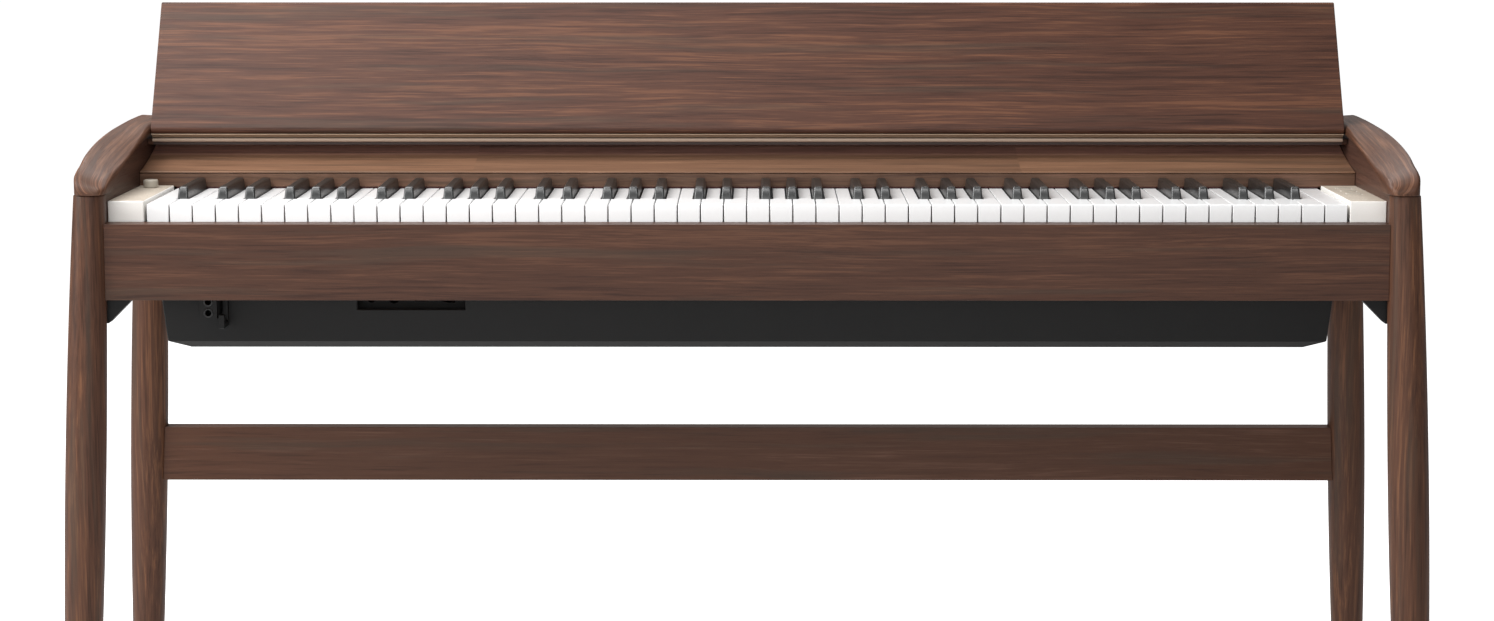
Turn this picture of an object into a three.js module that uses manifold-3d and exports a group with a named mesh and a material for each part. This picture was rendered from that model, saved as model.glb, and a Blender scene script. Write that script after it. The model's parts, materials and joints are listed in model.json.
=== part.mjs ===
// Digital piano on a four-legged walnut stand, with its folding lid open.
// Millimetres. X runs to the player's right, Y away from the player, Z up. The origin is on the
// floor, under the middle of the piano. Depths written as d(...) are measured back from the
// front faces of the white keys, and heights written as h(...) up from the tops of those keys.

import * as THREE from "three";
import { mergeVertices } from "three/addons/utils/BufferGeometryUtils.js";
import Module from "manifold-3d";

const wasm = await Module();
wasm.setup();

// ---------------------------------------------------------------- driving dimensions

const gap = 0.3; // between two pieces that touch

// Keyboard
const whitePitch = 23.5;
const whiteCount = 52;
const keyTopHeight = 712; // tops of the white keys above the floor
const keySideGap = 1;
const headLength = 50; // wide front part of a white key, in front of the black keys
const keyLength = 226; // front face to the pivot end
const keyThickness = 14;
const skirtDrop = 20; // height of a white key's front face
const skirtLength = 16;
const blackSlot = 13.7; // space a black key takes between two white tails
const blackBaseWidth = 11.2;
const blackTopWidth = 9.2;
const blackRise = 12; // above the white keys
const blackSetback = 0.7;
const blackFrontSlope = 5;
const combBar = { from: 214, to: 225, thickness: 6, clear: 1.5, postWidth: 6, endClear: 4 };
const chassis = {
  front: 8, back: 242, plate: 3, stopFront: 22, stopBack: 34, stopDrop: 31,
  railClear: 4, railThickness: 8, railRise: 2,
};
const sensorBoard = { front: 112, back: 150, thickness: 1.6, endClear: 5 };

// End blocks and controls
const blockGap = 2.2;
const blockWidth = 36.9;
const blockRise = 3.4;
const blockDrop = 19;
const knob = { diameter: 15.6, height: 8, depth: 128 };
const button = { length: 15, width: 7, height: 3.6, proud: 0.9, pitch: 26, firstDepth: 66 };
const buttonPocket = { clearance: 0.4, depth: 4.4 };

// Case
const sideThickness = 12;
const railThickness = 22; // front rail
const railTopDrop = 17.5;
const railKeyGap = 3;
const caseBottomDrop = 95; // underside of the case below the key tops
const keybedThickness = 20;
const backDepth = 262;
const backThickness = 12;
const nameboardDepth = 149;
const nameboardThickness = 9;
const feltThickness = 0.8;
const feltKeyGap = 0.6;
const slopeFront = { depth: 148.6, rise: 18.2 };
const slopeMiddle = { depth: 198, rise: 25.5 };
const slopeBack = { depth: 240, rise: 42.4 };
const slopeNosing = 2;
const slopeThickness = 9;
const topBoardFront = 195.2;
const topBoardBack = 287;
const topBoardRise = 49;
const topBoardThickness = 6;

// Arms
const armOverhang = 4.9; // past the inner face of the side panel
const armWidth = 32.5;
const armCorner = 11; // rounding of its ends, seen from above
const armFrontDepth = -35;
const armBackDepth = 290;
const frontSeatRise = 12.5; // flat underside over the front leg
const rearSeatRise = 56;
const armFrontFace = 5; // height of its upright front end
const armOuterEdge = [ // depth and rise of its upper edge on the outside, which is the higher one
  [-30, 23], [-13.5, 36.4], [11.7, 44], [44, 51.2], [84.6, 57.8], [140, 63.4], [200, 66.6],
  [270, 67.6], [282, 67.4],
];
const armInnerEdge = [ // and on the inside
  [-5, 26.3], [38, 33.3], [79, 40.9], [117, 48.6], [153, 56.2], [179, 62], [205, 64.8],
  [270, 66.6], [282, 66.4],
];
const armBackFaceRise = 60;
const armLineSteps = 4; // straight steps between two places of an edge
const armUnderStart = 0; // depth where its underside leaves the front seat
const armUnder = [[8, 16], [26, 24.5], [70, 35.5], [117, 44.5], [160, 51], [194, 54.6], [235, 56]];

// Legs
const legInset = 2.5; // how far a leg reaches past the case's inner face, at the front seat's height
const legSplay = 31; // outward from there to the floor
const legRake = 18; // forward or backward from there to the floor
const frontLegDepth = -18;
const rearLegDepth = 265.5;
const legFootRadius = 11.8;
const legBellyRadius = 20.7;
const legTopRadius = 15.8;
const legBellyShare = 0.565; // height of the thickest place as a share of the front leg
const glide = { radius: 10.4, height: 6 };
const stretcher = { height: 61, thickness: 20, underside: 368 };
const bracket = { reach: 25, width: 18, depth: -14, lip: 3 };

// Speaker tray under the case
const tray = {
  front: 75, back: 250, halfTop: 616, halfBelly: 609.5, bellyHeight: 58.5, height: 67.8,
  flatInset: 20, wall: 3,
};
const connectorBay = { centre: -352.5, width: 113, low: 24.5, high: 7, setback: 14 };
const speaker = { x: 430, depth: 165, radius: 60, height: 42, magnetRadius: 32, slots: 7, slotWidth: 6 };
const mainBoard = {
  length: 220, width: 110, thickness: 1.6, lift: 6, postX: 100, postY: 47, postSize: 8,
};
const boardParts = [ // two chips, a capacitor bank and a cooling block, placed from the board's middle
  { x: [-80, -40], y: [-30, 10], height: 3.4 },
  { x: [-20, 10], y: [-20, 10], height: 2.4 },
  { x: [-100, -70], y: [30, 48], height: 10.4 },
  { x: [40, 90], y: [-40, -20], height: 24.4 },
];
const socketPanel = { thickness: 3, housingWidth: 18, housingHeight: 14, housingDepth: 14, mouthDepth: 13 };
const roundSockets = [{ x: -44, radius: 4 }, { x: -20, radius: 5 }]; // power and pedals
const squareSockets = [{ x: 8, width: 12, height: 5 }, { x: 40, width: 8.5, height: 7.5 }]; // data
const headphoneBox = {
  x: -561, width: 18, depth: 24, height: 30.5, jackRadius: 3.3, jackDepth: 16, jackDrops: [12.8, 24.4],
};
const headphoneHook = { x: -547.2, width: 6.4, height: 41, reach: 26, bar: 6, tip: 15 };

// Lid: a main panel on a continuous hinge, and a flap at its free edge that folds back behind it
const lidLean = THREE.MathUtils.degToRad(29.5); // from upright, when open
const lidLength = 157;
const lidThickness = 16.5;
const lidSideClearance = 1.5;
const lidPivotDepth = 191.6;
const lidPivotDrop = 0.7; // pivot below the top of the rear top board
const lidPivotInset = 1.5; // pivot under the lid's upper face
const lidEndSetback = 3; // pivot to the end of the panel
const hingeRadius = 2.2;
const hingeLeaf = 1;
const flapThickness = 12;
const flapReach = 56.4; // flap pivot to its front edge
const flapEndSetback = 2.5;
const flapPivotOffset = 1.5; // flap pivot above the upper faces
const flapBend = THREE.MathUtils.degToRad(10); // between panel and flap when the lid is shut
const flapSlope = THREE.MathUtils.degToRad(14); // of the flap when the lid is shut
const lipHeight = 40;
const lipThickness = 11;
const flapHingeRadius = 1.3;
const stopPin = { radius: 4, length: 14, up: 14 };

// ---------------------------------------------------------------- frame and derived places

const keyFrontY = -(frontLegDepth + rearLegDepth) / 2;
const d = (depth) => keyFrontY + depth;
const h = (rise) => keyTopHeight + rise;

const keyboardHalf = (whiteCount * whitePitch) / 2;
const blockInner = keyboardHalf + blockGap;
const blockOuter = blockInner + blockWidth;
const caseHalf = blockOuter + gap; // inner face of a side panel
const armInner = caseHalf - armOverhang;
const armOuter = armInner + armWidth;
const caseBottom = h(-caseBottomDrop);
const keybedTop = caseBottom + keybedThickness;
const frontSeat = h(frontSeatRise);
const rearSeat = h(rearSeatRise);
const topBoardTop = h(topBoardRise);
const lidHalf = armInner - lidSideClearance;

// ---------------------------------------------------------------- materials

const finish = (color, roughness, metalness = 0) =>
  new THREE.MeshStandardMaterial({ color, roughness, metalness });

const walnut = finish(0x76574a, 0.55);
const walnutLight = finish(0x8c6c56, 0.55);
const whiteKeyPlastic = finish(0xf4f4f4, 0.3);
const blackKeyPlastic = finish(0x1c1f1f, 0.35);
const creamPlastic = finish(0xe2ded6, 0.45);
const greyPlastic = finish(0xc9c3b8, 0.4);
const charcoalPlastic = finish(0x262626, 0.7);
const blackSteel = finish(0x1b1c1c, 0.5, 0.6);
const bronze = finish(0x8a7560, 0.35, 0.8);
const steel = finish(0xa8abad, 0.35, 0.9);
const felt = finish(0x4a1f22, 0.95);
const nylon = finish(0x2b2a29, 0.6);
const circuitGreen = finish(0x1f4d36, 0.5);

// ---------------------------------------------------------------- shape helpers

// Turns a closed geometry into a solid that can be joined and cut.
function solid(geometry) {
  const bare = new THREE.BufferGeometry();
  bare.setAttribute("position", geometry.getAttribute("position"));
  if (geometry.index) bare.setIndex(geometry.index);
  const merged = mergeVertices(bare, 1e-4);
  return new wasm.Manifold(
    new wasm.Mesh({
      numProp: 3,
      vertProperties: new Float32Array(merged.attributes.position.array),
      triVerts: new Uint32Array(merged.index.array),
    }),
  );
}

function geometryOf(made) {
  const { vertProperties, triVerts, numProp } = made.getMesh();
  const positions = new Float32Array((vertProperties.length / numProp) * 3);
  for (let i = 0; i < positions.length / 3; i++)
    positions.set(vertProperties.subarray(i * numProp, i * numProp + 3), i * 3);
  const geometry = new THREE.BufferGeometry();
  geometry.setAttribute("position", new THREE.BufferAttribute(positions, 3));
  geometry.setIndex(new THREE.BufferAttribute(new Uint32Array(triVerts), 1));
  geometry.computeVertexNormals();
  return geometry;
}

const joined = (solids) => solids.reduce((whole, piece) => whole.add(piece));
const cut = (from, tools) => tools.reduce((whole, tool) => whole.subtract(tool), from);

function piece(name, shape, material) {
  const geometry = shape.isBufferGeometry ? shape : geometryOf(shape);
  const mesh = new THREE.Mesh(geometry, material);
  mesh.name = name;
  return mesh;
}

// A box given by its limits along each axis.
function block([x0, x1], [y0, y1], [z0, z1]) {
  return new THREE.BoxGeometry(x1 - x0, y1 - y0, z1 - z0).translate(
    (x0 + x1) / 2,
    (y0 + y1) / 2,
    (z0 + z1) / 2,
  );
}

const shapeOf = (points) => new THREE.Shape(points.map(([a, b]) => new THREE.Vector2(a, b)));
const prism = (shape, depth, curveSegments = 8) =>
  new THREE.ExtrudeGeometry(shape, { depth, bevelEnabled: false, curveSegments });

// An outline of (y, z) points swept along X.
const sweptAlongX = (shape, x0, x1) =>
  prism(shape, x1 - x0)
    .applyMatrix4(
      new THREE.Matrix4().makeBasis(
        new THREE.Vector3(0, 1, 0),
        new THREE.Vector3(0, 0, 1),
        new THREE.Vector3(1, 0, 0),
      ),
    )
    .translate(x0, 0, 0);

// An outline of (x, z) points swept along Y.
const sweptAlongY = (shape, y0, y1) =>
  prism(shape, y1 - y0)
    .applyMatrix4(
      new THREE.Matrix4().makeBasis(
        new THREE.Vector3(1, 0, 0),
        new THREE.Vector3(0, 0, 1),
        new THREE.Vector3(0, -1, 0),
      ),
    )
    .translate(0, y1, 0);

// A solid skinned over sections of four corners each, which run anticlockwise about its length.
function skinned(sections) {
  const faces = [0, 2, 1, 0, 3, 2];
  for (let section = 0; section < sections.length - 1; section++)
    for (let side = 0; side < 4; side++) {
      const a = section * 4 + side;
      const b = section * 4 + ((side + 1) % 4);
      faces.push(a, b, b + 4, a, b + 4, a + 4);
    }
  const end = (sections.length - 1) * 4;
  faces.push(end, end + 1, end + 2, end, end + 2, end + 3);
  const geometry = new THREE.BufferGeometry();
  geometry.setAttribute("position", new THREE.Float32BufferAttribute(sections.flat(2), 3));
  geometry.setIndex(faces);
  return geometry;
}

// A solid through rectangular levels, each { z, x: [low, high], y: [low, high] }, lowest first.
const stacked = (levels) =>
  skinned(levels.map(({ z, x, y }) => [
    [x[0], y[0], z], [x[1], y[0], z], [x[1], y[1], z], [x[0], y[1], z],
  ]));

// A turned piece standing on z = 0, from its (radius, height) profile.
const turned = (profile, segments) =>
  new THREE.LatheGeometry(profile.map(([r, z]) => new THREE.Vector2(r, z)), segments).rotateX(Math.PI / 2);

const rod = (radius, length, segments = 20) =>
  new THREE.CylinderGeometry(radius, radius, length, segments).rotateZ(Math.PI / 2);

const mirrored = (points, side) => points.map(([x, z]) => [side * x, z]);

// ---------------------------------------------------------------- stand

const sides = [["left", -1], ["right", 1]];
const rows = [["front", -1], ["rear", 1]];

const legTopSpread = legTopRadius - legInset;
const legAxisX = (z) => caseHalf + legTopSpread + (legSplay * (frontSeat - z)) / frontSeat;
const legAxisY = (row, z) =>
  (row < 0 ? d(frontLegDepth) : d(rearLegDepth)) + (row * legRake * (frontSeat - z)) / frontSeat;

function legRadius(z) {
  const belly = legBellyShare * frontSeat;
  if (z < belly)
    return legBellyRadius - (legBellyRadius - legFootRadius) * ((belly - z) / belly) ** 1.75;
  return legBellyRadius - (legBellyRadius - legTopRadius) * ((z - belly) / (frontSeat - belly)) ** 2.1;
}

// A leg between two heights, grown by an allowance all round. Its sections lie level, so its
// foot and its top are flat.
function legSolid(side, row, low, high, allowance = 0) {
  const sections = 16;
  const around = 32;
  const at = (z, angle) => [
    side * legAxisX(z) + (legRadius(z) + allowance) * Math.cos(angle),
    legAxisY(row, z) + (legRadius(z) + allowance) * Math.sin(angle),
    z,
  ];
  const positions = [];
  for (let i = 0; i <= sections; i++)
    for (let j = 0; j < around; j++)
      positions.push(...at(low + ((high - low) * i) / sections, (2 * Math.PI * j) / around));
  const faces = [];
  for (let i = 0; i < sections; i++)
    for (let j = 0; j < around; j++) {
      const a = i * around + j;
      const b = i * around + ((j + 1) % around);
      faces.push(a, b, b + around, a, b + around, a + around);
    }
  const lid = sections * around;
  for (let j = 1; j < around - 1; j++) faces.push(0, j + 1, j, lid, lid + j, lid + j + 1);
  const geometry = new THREE.BufferGeometry();
  geometry.setAttribute("position", new THREE.Float32BufferAttribute(positions, 3));
  geometry.setIndex(faces);
  return solid(geometry);
}

const legTop = (row) => (row < 0 ? frontSeat : rearSeat) - gap;

// The room the legs need, cut out of every board that meets them.
const legRoom = sides.flatMap(([, side]) =>
  rows.map(([, row]) => legSolid(side, row, glide.height, legTop(row) + 1, gap)),
);

function makeLegs() {
  const group = new THREE.Group();
  for (const [rowName, row] of rows)
    for (const [sideName, side] of sides) {
      const leg = legSolid(side, row, glide.height + gap, legTop(row));
      group.add(piece(`leg_${rowName}_${sideName}`, leg, walnut));
      const foot = turned([[0, 0], [glide.radius, 0], [glide.radius, glide.height], [0, glide.height]], 24);
      const pad = piece(`glide_${rowName}_${sideName}`, foot, nylon);
      pad.position.set(side * legAxisX(0), legAxisY(row, 0), 0);
      group.add(pad);
    }
  return group;
}

function makeStretcher() {
  const middle = stretcher.underside + stretcher.height / 2;
  const y = legAxisY(1, middle);
  const board = block(
    [-legAxisX(middle), legAxisX(middle)],
    [y - stretcher.thickness / 2, y + stretcher.thickness / 2],
    [stretcher.underside, stretcher.underside + stretcher.height],
  );
  return piece("rear_stretcher", cut(solid(board), legRoom), walnut);
}

function makeBracket(sideName, side) {
  const outer = legAxisX(caseBottom) - legRadius(caseBottom) + bracket.lip;
  const inner = outer - bracket.lip - bracket.reach;
  const top = caseBottom - gap;
  const low = top - bracket.reach;
  const corners = [[outer, top], [inner, top], [outer - bracket.lip, low], [outer, low]];
  const outline = mirrored(corners, side);
  const plate = sweptAlongY(shapeOf(outline), d(bracket.depth), d(bracket.depth + bracket.width));
  return piece(`corner_bracket_${sideName}`, cut(solid(plate), legRoom), blackSteel);
}

// ---------------------------------------------------------------- arms and case

const vector = ([depth, rise]) => new THREE.Vector2(d(depth), h(rise));

// A smooth line through places of (depth, rise), between two straight ends.
const armLine = (first, places, last) => [
  ...first.slice(0, -1).map(vector),
  ...new THREE.SplineCurve([first.at(-1), ...places].map(vector)).getPoints(armLineSteps * places.length),
  ...last.map(vector),
];
const armFace = [armFrontDepth, frontSeatRise + armFrontFace];
const armTail = [armBackDepth, armBackFaceRise];
const armOuterLine = armLine([armFace], armOuterEdge, [armTail]);
const armInnerLine = armLine([armFace], armInnerEdge, [armTail]);
const armUnderLine = armLine(
  [[armFrontDepth, frontSeatRise], [armUnderStart, frontSeatRise]],
  armUnder,
  [[armBackDepth, rearSeatRise]],
);

// The height of such a line at a place along Y.
function heightOn(line, y) {
  const next = line.findIndex((point) => point.x >= y - 1e-9);
  if (next < 1) return line[0].y;
  const [a, b] = [line[next - 1], line[next]];
  return a.y + ((b.y - a.y) * (y - a.x)) / (b.x - a.x);
}

// The arm's body between upright ends, in sections that stand across it from front to back.
function armBody(side) {
  const stations = [...armOuterLine, ...armInnerLine, ...armUnderLine].map((point) => point.x);
  const places = stations.sort((a, b) => a - b).filter((y, i) => i === 0 || y - stations[i - 1] > 0.05);
  const [inner, outer] = [side * armInner, side * armOuter];
  const sections = places.map((y) => [
    [outer, y, heightOn(armUnderLine, y)],
    [outer, y, heightOn(armOuterLine, y)],
    [inner, y, heightOn(armInnerLine, y)],
    [inner, y, heightOn(armUnderLine, y)],
  ]);
  return skinned(side < 0 ? sections : sections.reverse());
}

// A rectangle with rounded corners in plan, used to round the ends of an arm.
function armPlan(side) {
  const [x0, x1] = side < 0 ? [-armOuter, -armInner] : [armInner, armOuter];
  const [y0, y1] = [d(armFrontDepth), d(armBackDepth)];
  const plan = new THREE.Shape();
  plan.moveTo(x0 + armCorner, y0);
  plan.lineTo(x1 - armCorner, y0);
  plan.quadraticCurveTo(x1, y0, x1, y0 + armCorner * 1.6);
  plan.lineTo(x1, y1 - armCorner);
  plan.quadraticCurveTo(x1, y1, x1 - armCorner, y1);
  plan.lineTo(x0 + armCorner, y1);
  plan.quadraticCurveTo(x0, y1, x0, y1 - armCorner);
  plan.lineTo(x0, y0 + armCorner * 1.6);
  plan.quadraticCurveTo(x0, y0, x0 + armCorner, y0);
  return plan;
}

function makeArm(sideName, side) {
  const plan = solid(prism(armPlan(side), h(100) - h(0), 6).translate(0, 0, h(0)));
  return piece(`arm_${sideName}`, solid(armBody(side)).intersect(plan), walnut);
}

function makeSidePanel(sideName, side) {
  const outline = new THREE.Shape();
  const front = d(frontLegDepth);
  const back = d(rearLegDepth);
  outline.moveTo(front, caseBottom);
  outline.lineTo(back, caseBottom);
  outline.lineTo(back, rearSeat - gap);
  for (const { x, y } of [...armUnderLine].reverse())
    if (x > front && x < back) outline.lineTo(x, y - gap);
  outline.lineTo(front, frontSeat - gap);
  const inner = side * caseHalf;
  const outer = side * (caseHalf + sideThickness);
  const board = sweptAlongX(outline, Math.min(inner, outer), Math.max(inner, outer));
  return piece(`side_panel_${sideName}`, cut(solid(board), legRoom), walnut);
}

const railBack = -railKeyGap;
const boardHalf = caseHalf - gap;

function makeFrontRail() {
  const board = block(
    [-boardHalf, boardHalf],
    [d(railBack - railThickness), d(railBack)],
    [caseBottom, h(-railTopDrop)],
  );
  return piece("front_rail", cut(solid(board), legRoom), walnut);
}

function makeKeybed() {
  const board = block(
    [-boardHalf, boardHalf],
    [d(railBack + gap), d(backDepth - gap)],
    [caseBottom, keybedTop],
  );
  return piece("keybed", cut(solid(board), legRoom), walnutLight);
}

function makeBackPanel() {
  const board = block(
    [-boardHalf, boardHalf],
    [d(backDepth), d(backDepth + backThickness)],
    [caseBottom, topBoardTop - topBoardThickness - gap],
  );
  return piece("back_panel", cut(solid(board), legRoom), walnut);
}

function makeRearTopBoard() {
  const board = block(
    [-boardHalf, boardHalf],
    [d(topBoardFront), d(topBoardBack)],
    [topBoardTop - topBoardThickness, topBoardTop],
  );
  return piece("rear_top_board", cut(solid(board), legRoom), walnut);
}

// The hollowed panel that rises from behind the keys to under the rear top board.
function makeSlopedPanel() {
  const outline = new THREE.Shape();
  const front = vector([slopeFront.depth, slopeFront.rise]);
  const middle = vector([slopeMiddle.depth, slopeMiddle.rise]);
  const back = vector([slopeBack.depth, slopeBack.rise]);
  outline.moveTo(front.x, front.y);
  outline.quadraticCurveTo(middle.x, middle.y, back.x, back.y);
  outline.lineTo(back.x, back.y - slopeThickness);
  outline.quadraticCurveTo(middle.x, middle.y - slopeThickness + 1, front.x, front.y - slopeNosing);
  return piece("sloped_panel", sweptAlongX(outline, -boardHalf, boardHalf), walnutLight);
}

const feltTop = h(feltKeyGap + feltThickness);

function makeNameboard() {
  const board = block(
    [-boardHalf, boardHalf],
    [d(nameboardDepth), d(nameboardDepth + nameboardThickness)],
    [feltTop + gap, h(slopeFront.rise - slopeNosing - gap)],
  );
  const strip = block(
    [-keyboardHalf, keyboardHalf],
    [d(nameboardDepth + 1), d(nameboardDepth + nameboardThickness - 1)],
    [h(feltKeyGap), feltTop],
  );
  return [piece("nameboard", board, walnut), piece("nameboard_felt", strip, felt)];
}

// ---------------------------------------------------------------- keyboard

const letters = ["A", "B", "C", "D", "E", "F", "G"];
const groupPlace = { C: 0, D: 1, E: 2, F: 0, G: 1, A: 2, B: 3 }; // within C to E, or F to B
const groupSize = { C: 3, D: 3, E: 3, F: 4, G: 4, A: 4, B: 4 };
const letterOf = (index) => letters[index % 7];
const octaveOf = (index) => Math.floor((index + 5) / 7);
const whiteLeft = (index) => -keyboardHalf + whitePitch * index;
const hasBlackAfter = (index) =>
  index >= 0 && index < whiteCount - 1 && !["B", "E"].includes(letterOf(index));

// Middle of the black key that follows a white one: within a group all the tails are equal.
function blackCentre(index) {
  const size = groupSize[letterOf(index)];
  const place = groupPlace[letterOf(index)];
  const tail = (size * whitePitch - (size - 1) * blackSlot) / size;
  return whiteLeft(index) - place * whitePitch + (place + 1) * tail + (place + 0.5) * blackSlot;
}

function whiteKey(index) {
  const left = whiteLeft(index) + keySideGap / 2;
  const right = whiteLeft(index + 1) - keySideGap / 2;
  const tailLeft = hasBlackAfter(index - 1) ? blackCentre(index - 1) + blackSlot / 2 : left;
  const tailRight = hasBlackAfter(index) ? blackCentre(index) - blackSlot / 2 : right;
  const plan = shapeOf([
    [left, d(0)], [right, d(0)], [right, d(headLength)], [tailRight, d(headLength)],
    [tailRight, d(keyLength)], [tailLeft, d(keyLength)], [tailLeft, d(headLength)], [left, d(headLength)],
  ].filter(([x, y], i, all) => i === 0 || x !== all[i - 1][0] || y !== all[i - 1][1]));
  const lever = prism(plan, keyThickness).translate(0, 0, h(-keyThickness));
  const skirt = block([left, right], [d(0), d(skirtLength)], [h(-skirtDrop), h(-keyThickness)]);
  return solid(lever).add(solid(skirt));
}

function blackKey(index) {
  const centre = blackCentre(index);
  const front = headLength + blackSetback;
  const wide = [centre - blackBaseWidth / 2, centre + blackBaseWidth / 2];
  const narrow = [centre - blackTopWidth / 2, centre + blackTopWidth / 2];
  const lever = block(wide, [d(front), d(keyLength)], [h(-keyThickness), h(0)]);
  const cap = stacked([
    { z: h(0), x: wide, y: [d(front), d(nameboardDepth - 1.5)] },
    { z: h(blackRise), x: narrow, y: [d(front + blackFrontSlope), d(nameboardDepth - 1.5)] },
  ]);
  return solid(lever).add(solid(cap));
}

const indices = [...Array(whiteCount).keys()];
const middleOctave = 4;
const inBass = (index) => octaveOf(index) < middleOctave;
const inTreble = (index) => octaveOf(index) > middleOctave;

function makeKeys() {
  const group = new THREE.Group();
  const registers = [["bass", inBass], ["treble", inTreble]];
  for (const [name, belongs] of registers) {
    const whites = indices.filter(belongs);
    const blacks = whites.filter(hasBlackAfter);
    group.add(piece(`white_keys_${name}`, whiteComb(whites), whiteKeyPlastic));
    group.add(piece(`black_keys_${name}`, blackComb(blacks), blackKeyPlastic));
  }
  for (const index of indices.filter((i) => octaveOf(i) === middleOctave)) {
    group.add(piece(`key_${letterOf(index)}4`, whiteKey(index), whiteKeyPlastic));
    if (hasBlackAfter(index))
      group.add(piece(`key_${letterOf(index)}_sharp4`, blackKey(index), blackKeyPlastic));
  }
  return group;
}

// A bar along the pivot ends of one register's keys, with a post at the middle of each. The posts
// run a little way into the bar and the keys.
function combBarWithPosts(middles, barLow, postFrom, postTo) {
  const depth = [d(combBar.from), d(combBar.to)];
  const ends = [middles[0] - combBar.endClear, middles[middles.length - 1] + combBar.endClear];
  const bar = block(ends, depth, [barLow, barLow + combBar.thickness]);
  const posts = middles.map((middle) =>
    block([middle - combBar.postWidth / 2, middle + combBar.postWidth / 2], depth, [postFrom, postTo]),
  );
  return [bar, ...posts].map(solid);
}

// The white bar runs under the levers and touches only the white ones.
function whiteComb(members) {
  const low = h(-keyThickness - combBar.clear - combBar.thickness);
  const bar = combBarWithPosts(members.map(tailMiddle), low, low + 1, h(-keyThickness) + 1);
  return joined([...members.map(whiteKey), ...bar]);
}

// The black bar runs over the levers and touches only the black ones.
function blackComb(members) {
  const low = h(combBar.clear);
  const bar = combBarWithPosts(members.map(blackCentre), low, h(-1), low + 1);
  return joined([...members.map(blackKey), ...bar]);
}

function tailMiddle(index) {
  const left = hasBlackAfter(index - 1) ? blackCentre(index - 1) + blackSlot / 2 : whiteLeft(index);
  const right = hasBlackAfter(index) ? blackCentre(index) - blackSlot / 2 : whiteLeft(index + 1);
  return (left + right) / 2;
}

// The frame that the keys hinge on: a plate, a front rail that stops them and a rear rail.
const chassisLow = keybedTop + gap;

function makeKeyChassis() {
  const width = [-keyboardHalf, keyboardHalf];
  const railFront = keyLength + chassis.railClear;
  const plate = block(width, [d(chassis.front), d(chassis.back)], [chassisLow, chassisLow + chassis.plate]);
  const stopRail = block(
    width,
    [d(chassis.stopFront), d(chassis.stopBack)],
    [chassisLow + 1, h(-chassis.stopDrop)],
  );
  const rearRail = block(
    width,
    [d(railFront), d(railFront + chassis.railThickness)],
    [chassisLow + 1, h(chassis.railRise)],
  );
  return piece("key_chassis", joined([plate, stopRail, rearRail].map(solid)), steel);
}

function makeSensorBoard() {
  const low = chassisLow + chassis.plate + gap;
  const half = keyboardHalf - sensorBoard.endClear;
  const strip = block(
    [-half, half],
    [d(sensorBoard.front), d(sensorBoard.back)],
    [low, low + sensorBoard.thickness],
  );
  return piece("key_sensor_board", strip, circuitGreen);
}

const blockTop = h(blockRise);
const blockBack = nameboardDepth - 0.5;
const buttonX = (blockInner + blockOuter) / 2;
const buttonDepth = (order) => button.firstDepth + order * button.pitch;

function makeEndBlock(sideName, side) {
  const x = side < 0 ? [-blockOuter, -blockInner] : [blockInner, blockOuter];
  const body = solid(block(x, [d(0), d(blockBack)], [h(-blockDrop), blockTop]));
  const clear = buttonPocket.clearance;
  const pockets = [0, 1, 2].map((order) =>
    solid(
      block(
        [buttonX - button.length / 2 - clear, buttonX + button.length / 2 + clear],
        [d(buttonDepth(order)) - clear, d(buttonDepth(order)) + button.width + clear],
        [blockTop - buttonPocket.depth, blockTop + 1],
      ),
    ),
  );
  return piece(`end_block_${sideName}`, side > 0 ? cut(body, pockets) : body, creamPlastic);
}

function makeControls() {
  const group = new THREE.Group();
  const r = knob.diameter / 2;
  const profile = [[0, 0], [r, 0], [r, knob.height - 1], [r - 1, knob.height], [0, knob.height]];
  const volume = piece("volume_knob", turned(profile, 32), greyPlastic);
  volume.position.set(-(blockInner + blockOuter) / 2 - 2, d(knob.depth), blockTop + gap);
  group.add(volume);
  ["power_button", "sound_button", "metronome_button"].forEach((name, order) => {
    const cap = block(
      [-button.length / 2, button.length / 2],
      [0, button.width],
      [-button.height + button.proud, button.proud],
    );
    const mesh = piece(name, cap, greyPlastic);
    mesh.position.set(buttonX, d(buttonDepth(order)), blockTop);
    group.add(mesh);
  });
  return group;
}

// ---------------------------------------------------------------- speaker tray and electronics

const trayTop = caseBottom - gap;
const trayBottom = caseBottom - tray.height;
const trayFloor = trayBottom + tray.wall;

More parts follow.
